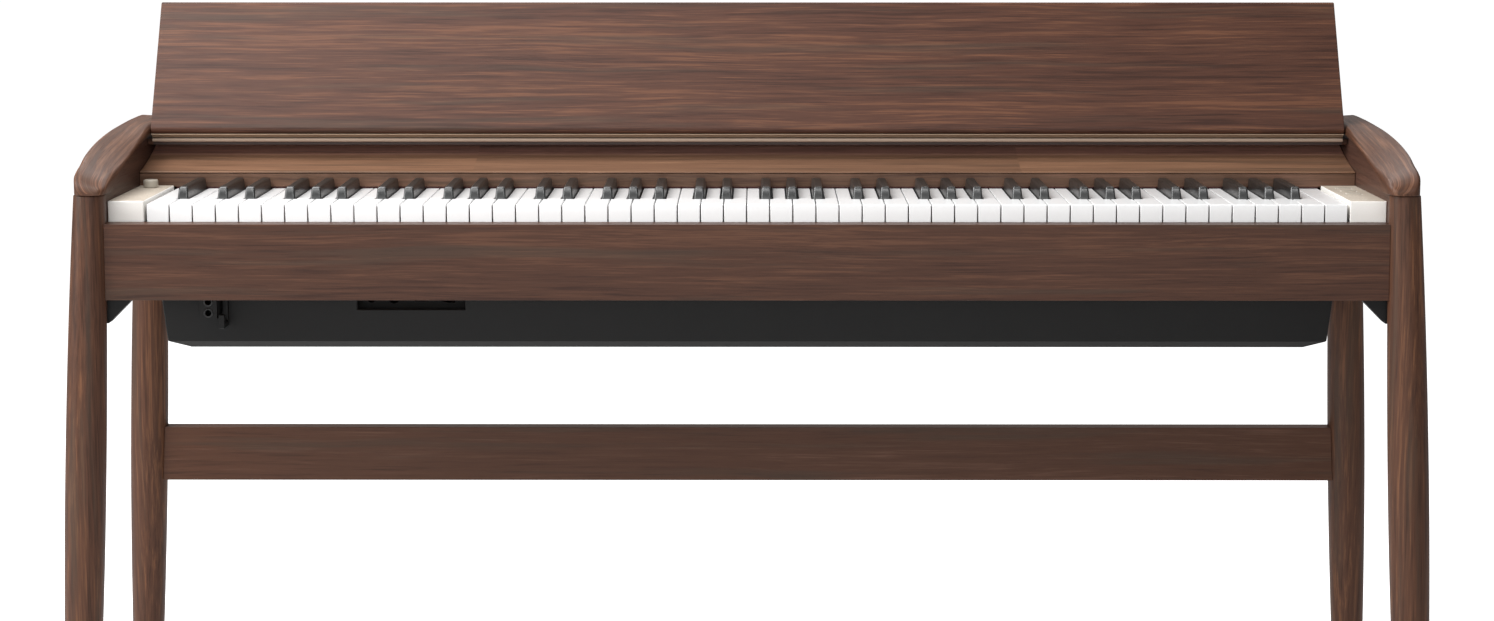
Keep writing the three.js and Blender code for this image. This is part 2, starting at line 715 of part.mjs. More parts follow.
function makeTray() {
  const belly = caseBottom - tray.bellyHeight;
  const shell = (inset, top) =>
    stacked([
      {
        z: trayBottom + inset,
        x: [-tray.halfBelly + tray.flatInset, tray.halfBelly - tray.flatInset],
        y: [d(tray.front + tray.flatInset), d(tray.back - tray.flatInset)],
      },
      {
        z: belly + inset / 2,
        x: [-tray.halfBelly + inset, tray.halfBelly - inset],
        y: [d(tray.front) + inset, d(tray.back) - inset],
      },
      {
        z: top,
        x: [-tray.halfTop + inset, tray.halfTop - inset],
        y: [d(tray.front) + inset, d(tray.back) - inset],
      },
    ]);
  const bay = block(
    [connectorBay.centre - connectorBay.width / 2, connectorBay.centre + connectorBay.width / 2],
    [d(tray.front) - 1, d(tray.front) + tray.wall + 1],
    [caseBottom - connectorBay.low, caseBottom - connectorBay.high],
  );
  const slotPitch = (2 * (speaker.radius - 12)) / (speaker.slots - 1);
  const slots = sides.flatMap(([, side]) =>
    [...Array(speaker.slots).keys()].map((order) => {
      const y = d(speaker.depth) + (order - (speaker.slots - 1) / 2) * slotPitch;
      const half = Math.sqrt((speaker.radius - 6) ** 2 - (y - d(speaker.depth)) ** 2);
      return block(
        [side * speaker.x - half, side * speaker.x + half],
        [y - speaker.slotWidth / 2, y + speaker.slotWidth / 2],
        [trayBottom - 1, trayFloor + 1],
      );
    }),
  );
  const hollow = shell(tray.wall, trayTop + 1);
  const walls = cut(solid(shell(0, trayTop)), [hollow, bay, ...slots].map(solid));
  return piece("speaker_tray", walls, charcoalPlastic);
}

function makeSpeaker(sideName, side) {
  const { radius, height, magnetRadius } = speaker;
  const profile = [
    [0, 12], [10, 9], [radius - 8, 0], [radius, 0], [radius, 4], [radius - 8, 5],
    [magnetRadius, 22], [magnetRadius, height], [0, height],
  ];
  const driver = piece(`speaker_${sideName}`, turned(profile, 36), blackSteel);
  driver.position.set(side * speaker.x, d(speaker.depth), trayFloor + gap);
  return driver;
}

function makeMainBoard() {
  const low = trayFloor + mainBoard.lift;
  const y = d((tray.front + tray.back) / 2);
  const plate = block(
    [-mainBoard.length / 2, mainBoard.length / 2],
    [y - mainBoard.width / 2, y + mainBoard.width / 2],
    [low, low + mainBoard.thickness],
  );
  const parts = boardParts.map(({ x, y: back, height }) =>
    block(x, back.map((place) => y + place), [low + 1, low + mainBoard.thickness + height]),
  );
  const { postX, postY, postSize } = mainBoard;
  const posts = sides.flatMap(([, sx]) =>
    sides.map(([, sy]) =>
      block(
        [sx * postX - postSize / 2, sx * postX + postSize / 2],
        [y + sy * postY - postSize / 2, y + sy * postY + postSize / 2],
        [trayFloor + gap, low + 0.5],
      ),
    ),
  );
  return piece("main_board", joined([plate, ...parts, ...posts].map(solid)), circuitGreen);
}

// The row of sockets behind the opening in the tray's front.
function makeConnectorPanel() {
  const { thickness, housingWidth, housingHeight, housingDepth, mouthDepth } = socketPanel;
  const front = d(tray.front + tray.wall + connectorBay.setback);
  const middle = caseBottom - (connectorBay.low + connectorBay.high) / 2;
  const half = connectorBay.width / 2 + 4;
  const plate = block(
    [connectorBay.centre - half, connectorBay.centre + half],
    [front, front + thickness],
    [caseBottom - connectorBay.low - 3, trayTop - 2],
  );
  const mouthBlock = (x, width, height, from, to) =>
    block(
      [connectorBay.centre + x - width / 2, connectorBay.centre + x + width / 2],
      [from, to],
      [middle - height / 2, middle + height / 2],
    );
  const housings = [...roundSockets, ...squareSockets].map(({ x }) =>
    mouthBlock(x, housingWidth, housingHeight, front + 1, front + thickness + housingDepth - 1),
  );
  const mouths = [
    ...roundSockets.map(({ x, radius }) =>
      new THREE.CylinderGeometry(radius, radius, mouthDepth + 2, 24).translate(
        connectorBay.centre + x, front - 2 + (mouthDepth + 2) / 2, middle,
      ),
    ),
    ...squareSockets.map(({ x, width, height }) =>
      mouthBlock(x, width, height, front - 2, front + mouthDepth),
    ),
  ];
  const panel = cut(joined([plate, ...housings].map(solid)), mouths.map(solid));
  return piece("connector_panel", panel, charcoalPlastic);
}

function makeHeadphoneBox() {
  const { x, width, depth, height, jackRadius, jackDepth, jackDrops } = headphoneBox;
  const back = d(tray.front) - gap;
  const body = block([x - width / 2, x + width / 2], [back - depth, back], [trayTop - height, trayTop]);
  const jacks = jackDrops.map((drop) =>
    new THREE.CylinderGeometry(jackRadius, jackRadius, jackDepth + 1, 24).translate(
      x, back - depth + (jackDepth - 1) / 2, trayTop - drop,
    ),
  );
  return piece("headphone_box", cut(solid(body), jacks.map(solid)), charcoalPlastic);
}

function makeHeadphoneHook() {
  const { x, width, height, reach, bar, tip } = headphoneHook;
  const back = d(tray.front) - gap;
  const low = trayTop - height;
  const outline = shapeOf([
    [back, trayTop], [back - bar, trayTop], [back - bar, low + bar], [back - reach + bar, low + bar],
    [back - reach + bar, low + tip], [back - reach, low + tip], [back - reach, low], [back, low],
  ]);
  return piece("headphone_hook", sweptAlongX(outline, x - width / 2, x + width / 2), blackSteel);
}

// ---------------------------------------------------------------- lid

// Inside the lid's group the hinge pin is the X axis, Y runs along the panel from the hinge to
// its free edge, and Z points out of the panel's inner face, which looks at the player when open.
const lidFrame = new THREE.Group();
lidFrame.position.set(0, d(lidPivotDepth), topBoardTop - lidPivotDrop);
lidFrame.rotation.x = Math.PI / 2 - lidLean;

const lidEnd = lidEndSetback + lidLength;
const lidOuterFace = -lidPivotInset;
const flapPivot = [lidEnd + flapEndSetback, lidOuterFace - flapPivotOffset];

function makeLidPanel() {
  const inner = lidOuterFace + lidThickness;
  const outline = shapeOf([
    [lidEndSetback, lidOuterFace], [lidEnd, lidOuterFace], [lidEnd, inner - 2],
    [lidEnd - 2, inner], [lidEndSetback + 1, inner], [lidEndSetback, inner - 1],
  ]);
  return piece("lid_panel", sweptAlongX(outline, -lidHalf, lidHalf), walnut);
}

// The flap's own section, measured from its pivot: along it, and out of its upper face.
function makeLidFlap() {
  const top = flapPivotOffset;
  const under = top + flapThickness;
  const lean = flapSlope;
  // A point of the lip, which hangs upright when the lid is shut: so far down, so far back.
  const lip = (down, back) => [
    flapReach + Math.sin(lean) * down - Math.cos(lean) * back,
    top + Math.cos(lean) * down + Math.sin(lean) * back,
  ];
  const [insideAlong, insideOut] = lip(0, lipThickness);
  const bevel = Math.tan(flapBend) * flapThickness + 1;
  const section = [
    [flapEndSetback, top], lip(0, 0), lip(lipHeight, 0), lip(lipHeight, lipThickness),
    [insideAlong + Math.tan(lean) * (under - insideOut), under],
    [flapEndSetback + bevel, under],
  ];
  const folded = section.map(([along, out]) => [flapPivot[0] - along, flapPivot[1] - out]);
  return piece("lid_flap", sweptAlongX(shapeOf(folded), -lidHalf, lidHalf), walnut);
}

function makeFlapHinge() {
  const pin = rod(flapHingeRadius, 2 * lidHalf - 10).translate(0, flapPivot[0], flapPivot[1]);
  return piece("flap_hinge", pin, bronze);
}

function makeHingeLeaf() {
  const inner = lidOuterFace + lidThickness;
  const leaf = block(
    [-lidHalf, lidHalf],
    [lidEndSetback - gap - hingeLeaf, lidEndSetback - gap],
    [hingeRadius + 0.4, inner - 0.5],
  );
  return piece("lid_hinge_leaf", leaf, bronze);
}

// The fixed leaf on the front of the rear top board, with the pin rolled into its upper edge.
function makeLidHinge() {
  const y = d(topBoardFront) - gap;
  const pivotZ = topBoardTop - lidPivotDrop;
  const leaf = block(
    [-lidHalf, lidHalf],
    [y - hingeLeaf, y],
    [topBoardTop - topBoardThickness, topBoardTop - 0.2],
  );
  const curl = block([-lidHalf, lidHalf], [d(lidPivotDepth), y], [pivotZ - hingeLeaf, pivotZ]);
  const pin = rod(hingeRadius, 2 * lidHalf).translate(0, d(lidPivotDepth), pivotZ);
  return piece("lid_hinge", joined([leaf, curl, pin].map(solid)), bronze);
}

function makeStopPin(sideName, side) {
  const along = stopPin.up;
  const out = lidOuterFace - stopPin.radius - 0.5;
  const turn = lidFrame.rotation.x;
  const pin = rod(stopPin.radius, stopPin.length, 24);
  const mesh = piece(`lid_stop_${sideName}`, pin, blackSteel);
  mesh.position.set(
    side * (armInner - gap - stopPin.length / 2),
    lidFrame.position.y + along * Math.cos(turn) - out * Math.sin(turn),
    lidFrame.position.z + along * Math.sin(turn) + out * Math.cos(turn),
  );
  return mesh;
}

lidFrame.add(makeLidPanel(), makeLidFlap(), makeHingeLeaf(), makeFlapHinge());

// ---------------------------------------------------------------- the whole piano

const stand = new THREE.Group();
stand.add(makeLegs(), makeStretcher());

const cabinet = new THREE.Group();
cabinet.add(
  makeFrontRail(), makeKeybed(), makeBackPanel(), makeRearTopBoard(), makeSlopedPanel(),
  ...makeNameboard(), makeLidHinge(),
);

const keyboard = new THREE.Group();
keyboard.add(makeKeys(), makeKeyChassis(), makeSensorBoard(), makeControls());

const electronics = new THREE.Group();
electronics.add(makeTray(), makeMainBoard(), makeConnectorPanel(), makeHeadphoneBox(), makeHeadphoneHook());

for (const [sideName, side] of sides) {
  stand.add(makeBracket(sideName, side));
  cabinet.add(makeArm(sideName, side), makeSidePanel(sideName, side), makeStopPin(sideName, side));
  keyboard.add(makeEndBlock(sideName, side));
  electronics.add(makeSpeaker(sideName, side));
}

const piano = new THREE.Group();
piano.add(stand, cabinet, keyboard, electronics, lidFrame);

export default piano;
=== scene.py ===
import json
import math

import bmesh
import bpy
from mathutils import Matrix, Vector


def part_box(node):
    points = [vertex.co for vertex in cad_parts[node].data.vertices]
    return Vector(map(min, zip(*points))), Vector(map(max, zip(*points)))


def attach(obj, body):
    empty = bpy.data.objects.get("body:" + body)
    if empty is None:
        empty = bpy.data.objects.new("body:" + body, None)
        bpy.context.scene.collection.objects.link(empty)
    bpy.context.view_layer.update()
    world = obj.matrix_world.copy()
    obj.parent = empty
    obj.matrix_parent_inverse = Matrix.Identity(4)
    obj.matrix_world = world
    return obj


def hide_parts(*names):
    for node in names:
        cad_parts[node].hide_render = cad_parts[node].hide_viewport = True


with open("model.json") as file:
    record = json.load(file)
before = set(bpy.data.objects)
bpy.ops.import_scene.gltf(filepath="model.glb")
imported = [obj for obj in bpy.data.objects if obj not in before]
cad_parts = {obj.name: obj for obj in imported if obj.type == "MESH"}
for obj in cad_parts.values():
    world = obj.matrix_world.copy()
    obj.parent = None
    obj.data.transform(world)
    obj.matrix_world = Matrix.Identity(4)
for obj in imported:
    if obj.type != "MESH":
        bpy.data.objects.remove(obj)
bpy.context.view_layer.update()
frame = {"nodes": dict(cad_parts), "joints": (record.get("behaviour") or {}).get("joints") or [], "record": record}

# A digital piano on a walnut stand: every board, leg, key and fitting is rebuilt round the packed
# frame with eased edges and its own finish. Lengths are in metres; MM turns millimetres into them.

MM = 0.001
scene = bpy.context.scene
body_of = {
    node: body
    for body, nodes in frame["record"]["behaviour"]["bodies"].items()
    for node in nodes
}

key_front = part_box("key_C4")[0].y
key_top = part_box("key_C4")[1].z
front_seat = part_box("arm_left")[0].z


def back(depth):
    """A place so many millimetres behind the front faces of the white keys."""
    return key_front + depth * MM


def up(rise):
    """A height so many millimetres above the tops of the white keys."""
    return key_top + rise * MM


# ------------------------------------------------------------------ node wiring


def paint(code):
    """A linear colour from a hex code."""
    channels = [(code >> shift & 255) / 255 for shift in (16, 8, 0)]
    linear = [c / 12.92 if c <= 0.04045 else ((c + 0.055) / 1.055) ** 2.4 for c in channels]
    return (*linear, 1.0)


class Wiring:
    """Adds nodes to a tree. An input is given as a socket to link from or as a value to set."""

    def __init__(self, tree):
        self.tree = tree

    def node(self, kind, inputs=None, **settings):
        made = self.tree.nodes.new(kind)
        for name, value in settings.items():
            setattr(made, name, value)
        for name, value in (inputs or {}).items():
            if isinstance(value, bpy.types.NodeSocket):
                self.link(value, made.inputs[name])
            else:
                made.inputs[name].default_value = value
        return made

    def link(self, leaving, arriving):
        self.tree.links.new(leaving, arriving)

    def first(self, kind, inputs=None, **settings):
        """The first output of a new node."""
        return self.node(kind, inputs, **settings).outputs[0]

    def maths(self, operation, *terms):
        return self.first("ShaderNodeMath", dict(enumerate(terms)), operation=operation)

    def times(self, value, factor):
        return self.maths("MULTIPLY", value, factor)

    def scaled(self, vector, factors):
        inputs = {0: vector, 1: factors}
        return self.first("ShaderNodeVectorMath", inputs, operation="MULTIPLY")

    def noise(self, vector, detail, roughness=0.5):
        inputs = {"Vector": vector, "Scale": 1.0, "Detail": detail, "Roughness": roughness}
        return self.first("ShaderNodeTexNoise", inputs)

    def spread(self, value, low, high):
        """Nought below low, one above high, and a smooth rise between them."""
        inputs = {0: value, 1: low, 2: high, 3: 0.0, 4: 1.0}
        return self.first("ShaderNodeMapRange", inputs, interpolation_type="SMOOTHSTEP")

    def mix(self, factor, a, b, blend="MIX"):
        inputs = {0: factor, 6: a, 7: b}
        settings = {"data_type": "RGBA", "blend_type": blend}
        return self.node("ShaderNodeMix", inputs, **settings).outputs[2]


def numbers(**defaults):
    """Socket rows for numbers. An underscore in a name stands for a space."""
    return [(name.replace("_", " "), "NodeSocketFloat", value) for name, value in defaults.items()]


def colours(**defaults):
    """Socket rows for colours, from hex codes."""
    return [(name, "NodeSocketColor", paint(code)) for name, code in defaults.items()]


def new_group(name, kind, inputs, outputs):
    """A node group with these sockets, and the wiring and the two end nodes to build it with."""
    tree = bpy.data.node_groups.new(name, kind)
    for label, socket, value in inputs:
        made = tree.interface.new_socket(label, in_out="INPUT", socket_type=socket)
        if value is not None:
            made.default_value = value
    for label, socket in outputs:
        tree.interface.new_socket(label, in_out="OUTPUT", socket_type=socket)
    wiring = Wiring(tree)
    return tree, wiring, wiring.node("NodeGroupInput").outputs, wiring.node("NodeGroupOutput").inputs


# ------------------------------------------------------------------ finishes

VECTOR_IN = ("Vector", "NodeSocketVector", (0, 0, 0))
SURFACE_OUT = [("Color", "NodeSocketColor"), ("Roughness", "NodeSocketFloat"), ("Height", "NodeSocketFloat")]


def make_walnut_figure():
    """Straight walnut grain along the vector's X: bands, fibres, slow colour drift and dark pores."""
    tree, wiring, given, result = new_group(
        "walnut_figure",
        "ShaderNodeTree",
        [
            VECTOR_IN,
            *colours(Dark=0x3A2A24, Middle=0x5A4238, Light=0x84675A, Grey=0x42372E),
            *numbers(Contrast=1.0),
        ],
        SURFACE_OUT,
    )
    vector = given["Vector"]
    drift = wiring.noise(wiring.scaled(vector, (2.6, 9.0, 9.0)), 2.0)
    sway = wiring.times(wiring.maths("SUBTRACT", drift, 0.5), 0.014)
    swayed = wiring.first(
        "ShaderNodeVectorMath",
        {0: vector, 1: wiring.first("ShaderNodeCombineXYZ", {1: sway, 2: sway})},
        operation="ADD",
    )
    bands = wiring.noise(wiring.scaled(swayed, (6.5, 240.0, 240.0)), 4.0, 0.6)
    fibres = wiring.noise(wiring.scaled(swayed, (17.0, 760.0, 760.0)), 3.0, 0.6)
    tone = wiring.noise(wiring.scaled(swayed, (1.3, 32.0, 32.0)), 2.0)
    pores = wiring.spread(wiring.noise(wiring.scaled(swayed, (40.0, 2100.0, 2100.0)), 1.0), 0.6, 0.72)
    figure = wiring.maths(
        "ADD",
        wiring.times(bands, 0.46),
        wiring.maths("ADD", wiring.times(fibres, 0.32), wiring.times(tone, 0.22)),
    )
    centred = wiring.times(wiring.maths("SUBTRACT", figure, 0.5), given["Contrast"])
    level = wiring.maths("MULTIPLY_ADD", centred, 4.2, 0.5)
    lower = wiring.mix(wiring.spread(level, 0.0, 0.5), given["Dark"], given["Middle"])
    wood = wiring.mix(wiring.spread(level, 0.5, 1.0), lower, given["Light"])
    streaks = wiring.spread(wiring.noise(wiring.scaled(swayed, (2.4, 75.0, 75.0)), 3.0), 0.52, 0.68)
    wood = wiring.mix(wiring.times(streaks, 0.45), wood, given["Grey"])
    wood = wiring.mix(wiring.times(pores, 0.3), wood, given["Dark"])
    wiring.link(wood, result["Color"])
    rough = wiring.maths("MULTIPLY_ADD", fibres, 0.16, 0.34)
    wiring.link(wiring.maths("MULTIPLY_ADD", pores, 0.14, rough), result["Roughness"])
    sunk = wiring.times(pores, 0.6)
    relief = wiring.maths("SUBTRACT", wiring.times(fibres, 0.5), sunk)
    wiring.link(relief, result["Height"])
    return tree


def make_moulded_grain():
    """The fine even texture of a moulded or coated surface: specks, a slow drift of tone, a relief."""
    tree, wiring, given, result = new_group(
        "moulded_grain",
        "ShaderNodeTree",
        [
            VECTOR_IN,
            *colours(Base=0x808080, Speck=0x606060),
            *numbers(Speck_share=0.3, Grain_size=1500.0, Roughness=0.5),
        ],
        SURFACE_OUT,
    )
    inputs = {0: given["Vector"], "Scale": given["Grain size"]}
    sized = wiring.first("ShaderNodeVectorMath", inputs, operation="SCALE")
    fine = wiring.noise(sized, 2.0)
    broad = wiring.noise(wiring.scaled(given["Vector"], (18.0, 18.0, 18.0)), 2.0)
    specks = wiring.times(wiring.spread(fine, 0.52, 0.66), given["Speck share"])
    drift_share = wiring.times(given["Speck share"], 0.4)
    drift = wiring.times(wiring.spread(broad, 0.35, 0.7), drift_share)
    colour = wiring.mix(wiring.maths("MAXIMUM", specks, drift), given["Base"], given["Speck"])
    wiring.link(colour, result["Color"])
    unevenness = wiring.times(wiring.maths("SUBTRACT", fine, 0.5), 0.1)
    rough = wiring.maths("ADD", given["Roughness"], unevenness)
    wiring.link(rough, result["Roughness"])
    wiring.link(fine, result["Height"])
    return tree


walnut_figure = make_walnut_figure()
moulded_grain = make_moulded_grain()

GRAIN_TURN = {
    "across": (0, 0, 0),
    "deep": (0, 0, math.radians(-90)),
    "upright": (0, math.radians(90), 0),
    "mapped": (0, 0, 0),
}


def new_material(name, shader_values):
    """A material, its wiring and its shader, whose constant sockets take these values."""
    material = bpy.data.materials.new(name)
    material.use_nodes = True
    wiring = Wiring(material.node_tree)
    shader = material.node_tree.nodes["Principled BSDF"]
    for socket, value in shader_values.items():
        shader.inputs[socket].default_value = value
    return material, wiring, shader


def wire_surface(wiring, shader, pattern, relief, distance):
    """Leads a pattern group's colour, roughness and relief into the shader."""
    wiring.link(pattern.outputs["Color"], shader.inputs["Base Color"])
    wiring.link(pattern.outputs["Roughness"], shader.inputs["Roughness"])
    inputs = {"Strength": relief, "Distance": distance, "Height": pattern.outputs["Height"]}
    wiring.link(wiring.first("ShaderNodeBump", inputs), shader.inputs["Normal"])


WOOD_SHINE = {"Specular IOR Level": 0.22}


def walnut(name, grain, shift, dark=0x3C261C, middle=0x503426, light=0x6D4933, contrast=1.0):
    """Satin walnut whose grain runs across, deep, upright or along a piece's own UV map."""
    material, wiring, shader = new_material(name, WOOD_SHINE)
    place = wiring.node("ShaderNodeTexCoord").outputs["UV" if grain == "mapped" else "Object"]
    start = (shift, shift * 0.37, shift * 0.61)
    mapping = {"Vector": place, "Location": start, "Rotation": GRAIN_TURN[grain]}
    pattern = wiring.node("ShaderNodeGroup", node_tree=walnut_figure)
    wiring.link(wiring.first("ShaderNodeMapping", mapping), pattern.inputs["Vector"])
    pattern.inputs["Dark"].default_value = paint(dark)
    pattern.inputs["Middle"].default_value = paint(middle)
    pattern.inputs["Light"].default_value = paint(light)
    pattern.inputs["Contrast"].default_value = contrast
    wire_surface(wiring, shader, pattern, 0.35, 0.25 * MM)
    return material


VENEER_LEAF = 0.587
# Painted light: the colour gain for the band of the slope that lies in shade under the lid's hinge.
PAINTED_LIGHT_GAIN = (2.9, 2.8, 3.6, 1)


def veneered_walnut(name, painted_light_from=None):
    """Light veneer laid in leaves side by side, each cut from another place in the log.

    Above a given height its colour is painted lighter and redder: painted light on the band of the slope that lies
    in shade under the lid's hinge.
    """
    material, wiring, shader = new_material(name, WOOD_SHINE)
    place = wiring.node("ShaderNodeTexCoord").outputs["Object"]
    split = wiring.node("ShaderNodeSeparateXYZ", {0: place}).outputs
    leaf = wiring.maths("ROUND", wiring.maths("DIVIDE", split["X"], VENEER_LEAF))
    moved = wiring.first(
        "ShaderNodeCombineXYZ",
        {
            0: wiring.maths("ADD", split["X"], wiring.times(leaf, 3.7)),
            1: wiring.maths("ADD", split["Y"], wiring.times(leaf, 0.9)),
            2: wiring.maths("ADD", split["Z"], wiring.times(leaf, 0.53)),
        },
    )
    pattern = wiring.node("ShaderNodeGroup", node_tree=walnut_figure)
    wiring.link(moved, pattern.inputs["Vector"])
    shade = wiring.maths("MULTIPLY_ADD", wiring.maths("ABSOLUTE", leaf), 0.35, 0.4)
    wiring.link(wiring.mix(shade, paint(0x4A362B), paint(0x5E4432)), pattern.inputs["Dark"])
    wiring.link(wiring.mix(shade, paint(0x6C503F), paint(0x82604A)), pattern.inputs["Middle"])
    wiring.link(wiring.mix(shade, paint(0x866752), paint(0x9C7559)), pattern.inputs["Light"])
    pattern.inputs["Contrast"].default_value = 0.7
    wire_surface(wiring, shader, pattern, 0.3, 0.2 * MM)
    # Painted light: above this height the band in shade under the hinge is painted about three times lighter.
    if painted_light_from is not None:
        upper = wiring.spread(split["Z"], painted_light_from, painted_light_from + 4 * MM)
        painted_light = wiring.mix(upper, (1, 1, 1, 1), PAINTED_LIGHT_GAIN)
        painted_lit_colour = wiring.mix(1.0, pattern.outputs["Color"], painted_light, "MULTIPLY")
        wiring.link(painted_lit_colour, shader.inputs["Base Color"])
    return material


def moulded(name, base, speck, share, roughness, grain=1500.0, relief=0.15, **shader_values):
    """Plastic, paint, felt or metal with a fine even texture."""
    values = {key.replace("_", " "): value for key, value in shader_values.items()}
    material, wiring, shader = new_material(name, values)
    pattern = wiring.node("ShaderNodeGroup", node_tree=moulded_grain)
    wiring.link(wiring.node("ShaderNodeTexCoord").outputs["Object"], pattern.inputs["Vector"])
    settings = {
        "Base": paint(base),
        "Speck": paint(speck),
        "Speck share": share,
        "Grain size": grain,
        "Roughness": roughness,
    }
    for label, value in settings.items():
        pattern.inputs[label].default_value = value
    wire_surface(wiring, shader, pattern, relief, 0.1 * MM)
    return material


FINISH = {
    "lid": walnut(
        "lid_walnut", "across", 0.0, dark=0x3A241C, middle=0x4C3025, light=0x654230, contrast=1.1,
    ),
    "flap": walnut("flap_walnut", "across", 5.3),
    "rail": walnut(
        "rail_walnut", "across", 2.7, dark=0x35211A, middle=0x472E23, light=0x5A3C2D, contrast=0.9,
    ),
    "stretcher": walnut("stretcher_walnut", "across", 7.1, light=0x654739, contrast=0.6),
    "back_board": walnut("back_board_walnut", "across", 9.4),
    "top_board": walnut("top_board_walnut", "across", 3.9),
    "nameboard": walnut("nameboard_walnut", "across", 6.2, dark=0x4A342A, middle=0x604738, light=0x735444),
    "side": walnut(
        "side_walnut", "deep", 1.6, dark=0x38251F, middle=0x4C342B, light=0x5F4337, contrast=0.8,
    ),
    "keybed": veneered_walnut("keybed_veneer"),
    # The slope's veneer carries painted light on its upper band, which lies in shade under the lid's hinge.
    "slope": veneered_walnut("slope_veneer_painted_light", up(29.5)),
    "arm_left": walnut("arm_left_walnut", "mapped", 0.9, light=0x7A5743, contrast=0.95),
    "arm_right": walnut("arm_right_walnut", "mapped", 4.4, light=0x7A5743, contrast=0.95),
    "leg_front_left": walnut("leg_front_left_walnut", "upright", 0.4),
    "leg_front_right": walnut("leg_front_right_walnut", "upright", 2.2),
    "leg_rear_left": walnut("leg_rear_left_walnut", "upright", 3.3),
    "leg_rear_right": walnut("leg_rear_right_walnut", "upright", 5.8),
    "white_key": moulded("white_key_plastic", 0xF7F7F7, 0xF1F1F0, 0.2, 0.22, 500.0, 0.02),
    "black_key": moulded(
        "black_key_plastic", 0x1B1C1C, 0x242626, 0.5, 0.29, 900.0, 0.0, Specular_IOR_Level=1.0,
    ),
    "cream": moulded("cream_plastic", 0xF8F5F0, 0xE4DED4, 0.2, 0.42, 1100.0, 0.05),
    "speckled": moulded("speckled_cream_plastic", 0xC8BCAC, 0x8E8376, 0.75, 0.5, 520.0, 0.1),
    "control": moulded("control_plastic", 0xB4AC9F, 0x9C9487, 0.3, 0.34, 1800.0, 0.1),
    "charcoal": moulded(
        "charcoal_plastic", 0x1A1A1A, 0x232323, 0.4, 0.6, 1300.0, 0.25, Specular_IOR_Level=0.25,
    ),
    "black_steel": moulded(
        "black_powder_coat", 0x101010, 0x1C1C1C, 0.5, 0.5, 1900.0, 0.3, Specular_IOR_Level=0.25,
    ),
    "bronze": moulded("bronze_hinge", 0xA08A74, 0xB49E88, 0.4, 0.4, 1600.0, 0.05, Metallic=0.3),
    # A painted highlight: the knuckles are coloured lighter than the bronze leaf to stand for the bright line
    # along the hinge barrel.
    "knuckle": moulded("hinge_knuckle_painted_highlight", 0xAE9886, 0xBDA896, 0.4, 0.4, 1600.0, 0.05),
    "leaf": moulded("brown_hinge_leaf", 0x3E2C26, 0x4A362E, 0.4, 0.5, 1600.0, 0.05),
    "zinc": moulded("zinc_steel", 0xA6A9AC, 0x83868A, 0.5, 0.34, 700.0, 0.1, Metallic=1.0),
    "felt": moulded("red_felt", 0x5A1F24, 0x381216, 0.8, 0.9, 2600.0, 0.8, Sheen_Weight=0.5),
    "nylon": moulded("nylon_glide", 0x2B2A29, 0x3A3836, 0.4, 0.55, 1500.0, 0.2),
    "board": moulded("green_board", 0x1F4D36, 0x2C6B4B, 0.6, 0.4, 420.0, 0.25),
    "cone": moulded("speaker_paper", 0x1D1C1B, 0x33312F, 0.6, 0.85, 1700.0, 0.6),
    "surround": moulded("speaker_rubber", 0x121212, 0x1D1D1D, 0.4, 0.5, 1400.0, 0.15),
    "bush": moulded("jack_bush_plastic", 0x1A1A1A, 0x242424, 0.3, 0.3, 900.0, 0.05),
    "dome": moulded("contact_rubber", 0x8E8F90, 0x777879, 0.4, 0.6, 1500.0, 0.2),
}

# ------------------------------------------------------------------ mesh making


def evaluated_mesh(carrier):
    """The carrier's mesh with its modifiers applied; the carrier is removed."""
    graph = bpy.context.evaluated_depsgraph_get()
    made = bpy.data.meshes.new_from_object(carrier.evaluated_get(graph))
    bpy.data.objects.remove(carrier)
    return made


def carried(mesh):
    carrier = bpy.data.objects.new("carrier", mesh)
    scene.collection.objects.link(carrier)
    return carrier


def mesh_from(shape):
    """A mesh from a bmesh, which is freed."""
    mesh = bpy.data.meshes.new("shape")
    shape.to_mesh(mesh)
    shape.free()
    return mesh


def eased(mesh, width, segments=3, limit=32):
    """The mesh with its sharp edges rounded and its flat faces shaded flat."""
    mesh.shade_smooth()
    carrier = carried(mesh)
    rounding = carrier.modifiers.new("rounding", "BEVEL")
    rounding.width = width
    rounding.segments = segments
    rounding.limit_method = "ANGLE"
    rounding.angle_limit = math.radians(limit)
    shading = carrier.modifiers.new("shading", "WEIGHTED_NORMAL")
    shading.mode = "FACE_AREA"
    shading.weight = 60
    return evaluated_mesh(carrier)


def copy_of(node):
    """A merged copy of a CAD node's mesh, with its flat faces whole."""
    shape = bmesh.new()
    shape.from_mesh(frame["nodes"][node].data)
    bmesh.ops.remove_doubles(shape, verts=shape.verts, dist=0.005 * MM)
    flat = math.radians(0.4)
    bmesh.ops.dissolve_limit(shape, angle_limit=flat, verts=shape.verts, edges=shape.edges)
    return mesh_from(shape)


def piece(name, mesh, node, finish, stands_for=None):
    """Adds a finished mesh that rides with a CAD node's body."""
    mesh.materials.clear()
    for material in finish if isinstance(finish, (list, tuple)) else [finish]:
        mesh.materials.append(material)
    made = bpy.data.objects.new(name, mesh)
    scene.collection.objects.link(made)
    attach(made, body_of[node])
    if stands_for:
        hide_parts(*stands_for)
    return made


def eased_piece(name, node, finish, width, segments=3, limit=32):
    """A CAD node's own shape with rounded edges, shown in its place."""
    return piece(name, eased(copy_of(node), width, segments, limit), node, finish, [node])


def add_box(shape, low, high):
    """Adds a closed box between two corners to a bmesh and returns its new vertices."""
    size = Vector(high) - Vector(low)
    middle = (Vector(high) + Vector(low)) / 2
    matrix = Matrix.Translation(middle) @ Matrix.Diagonal((*size, 1.0))
    return bmesh.ops.create_cube(shape, size=1.0, matrix=matrix)["verts"]


def bevel_edges(shape, edges, width, segments):
    """Rounds some edges of a bmesh."""
    settings = {"segments": segments, "profile": 0.5, "affect": "EDGES", "clamp_overlap": True}
    bmesh.ops.bevel(shape, geom=edges, offset=width, **settings)


ARC_STEPS = 6


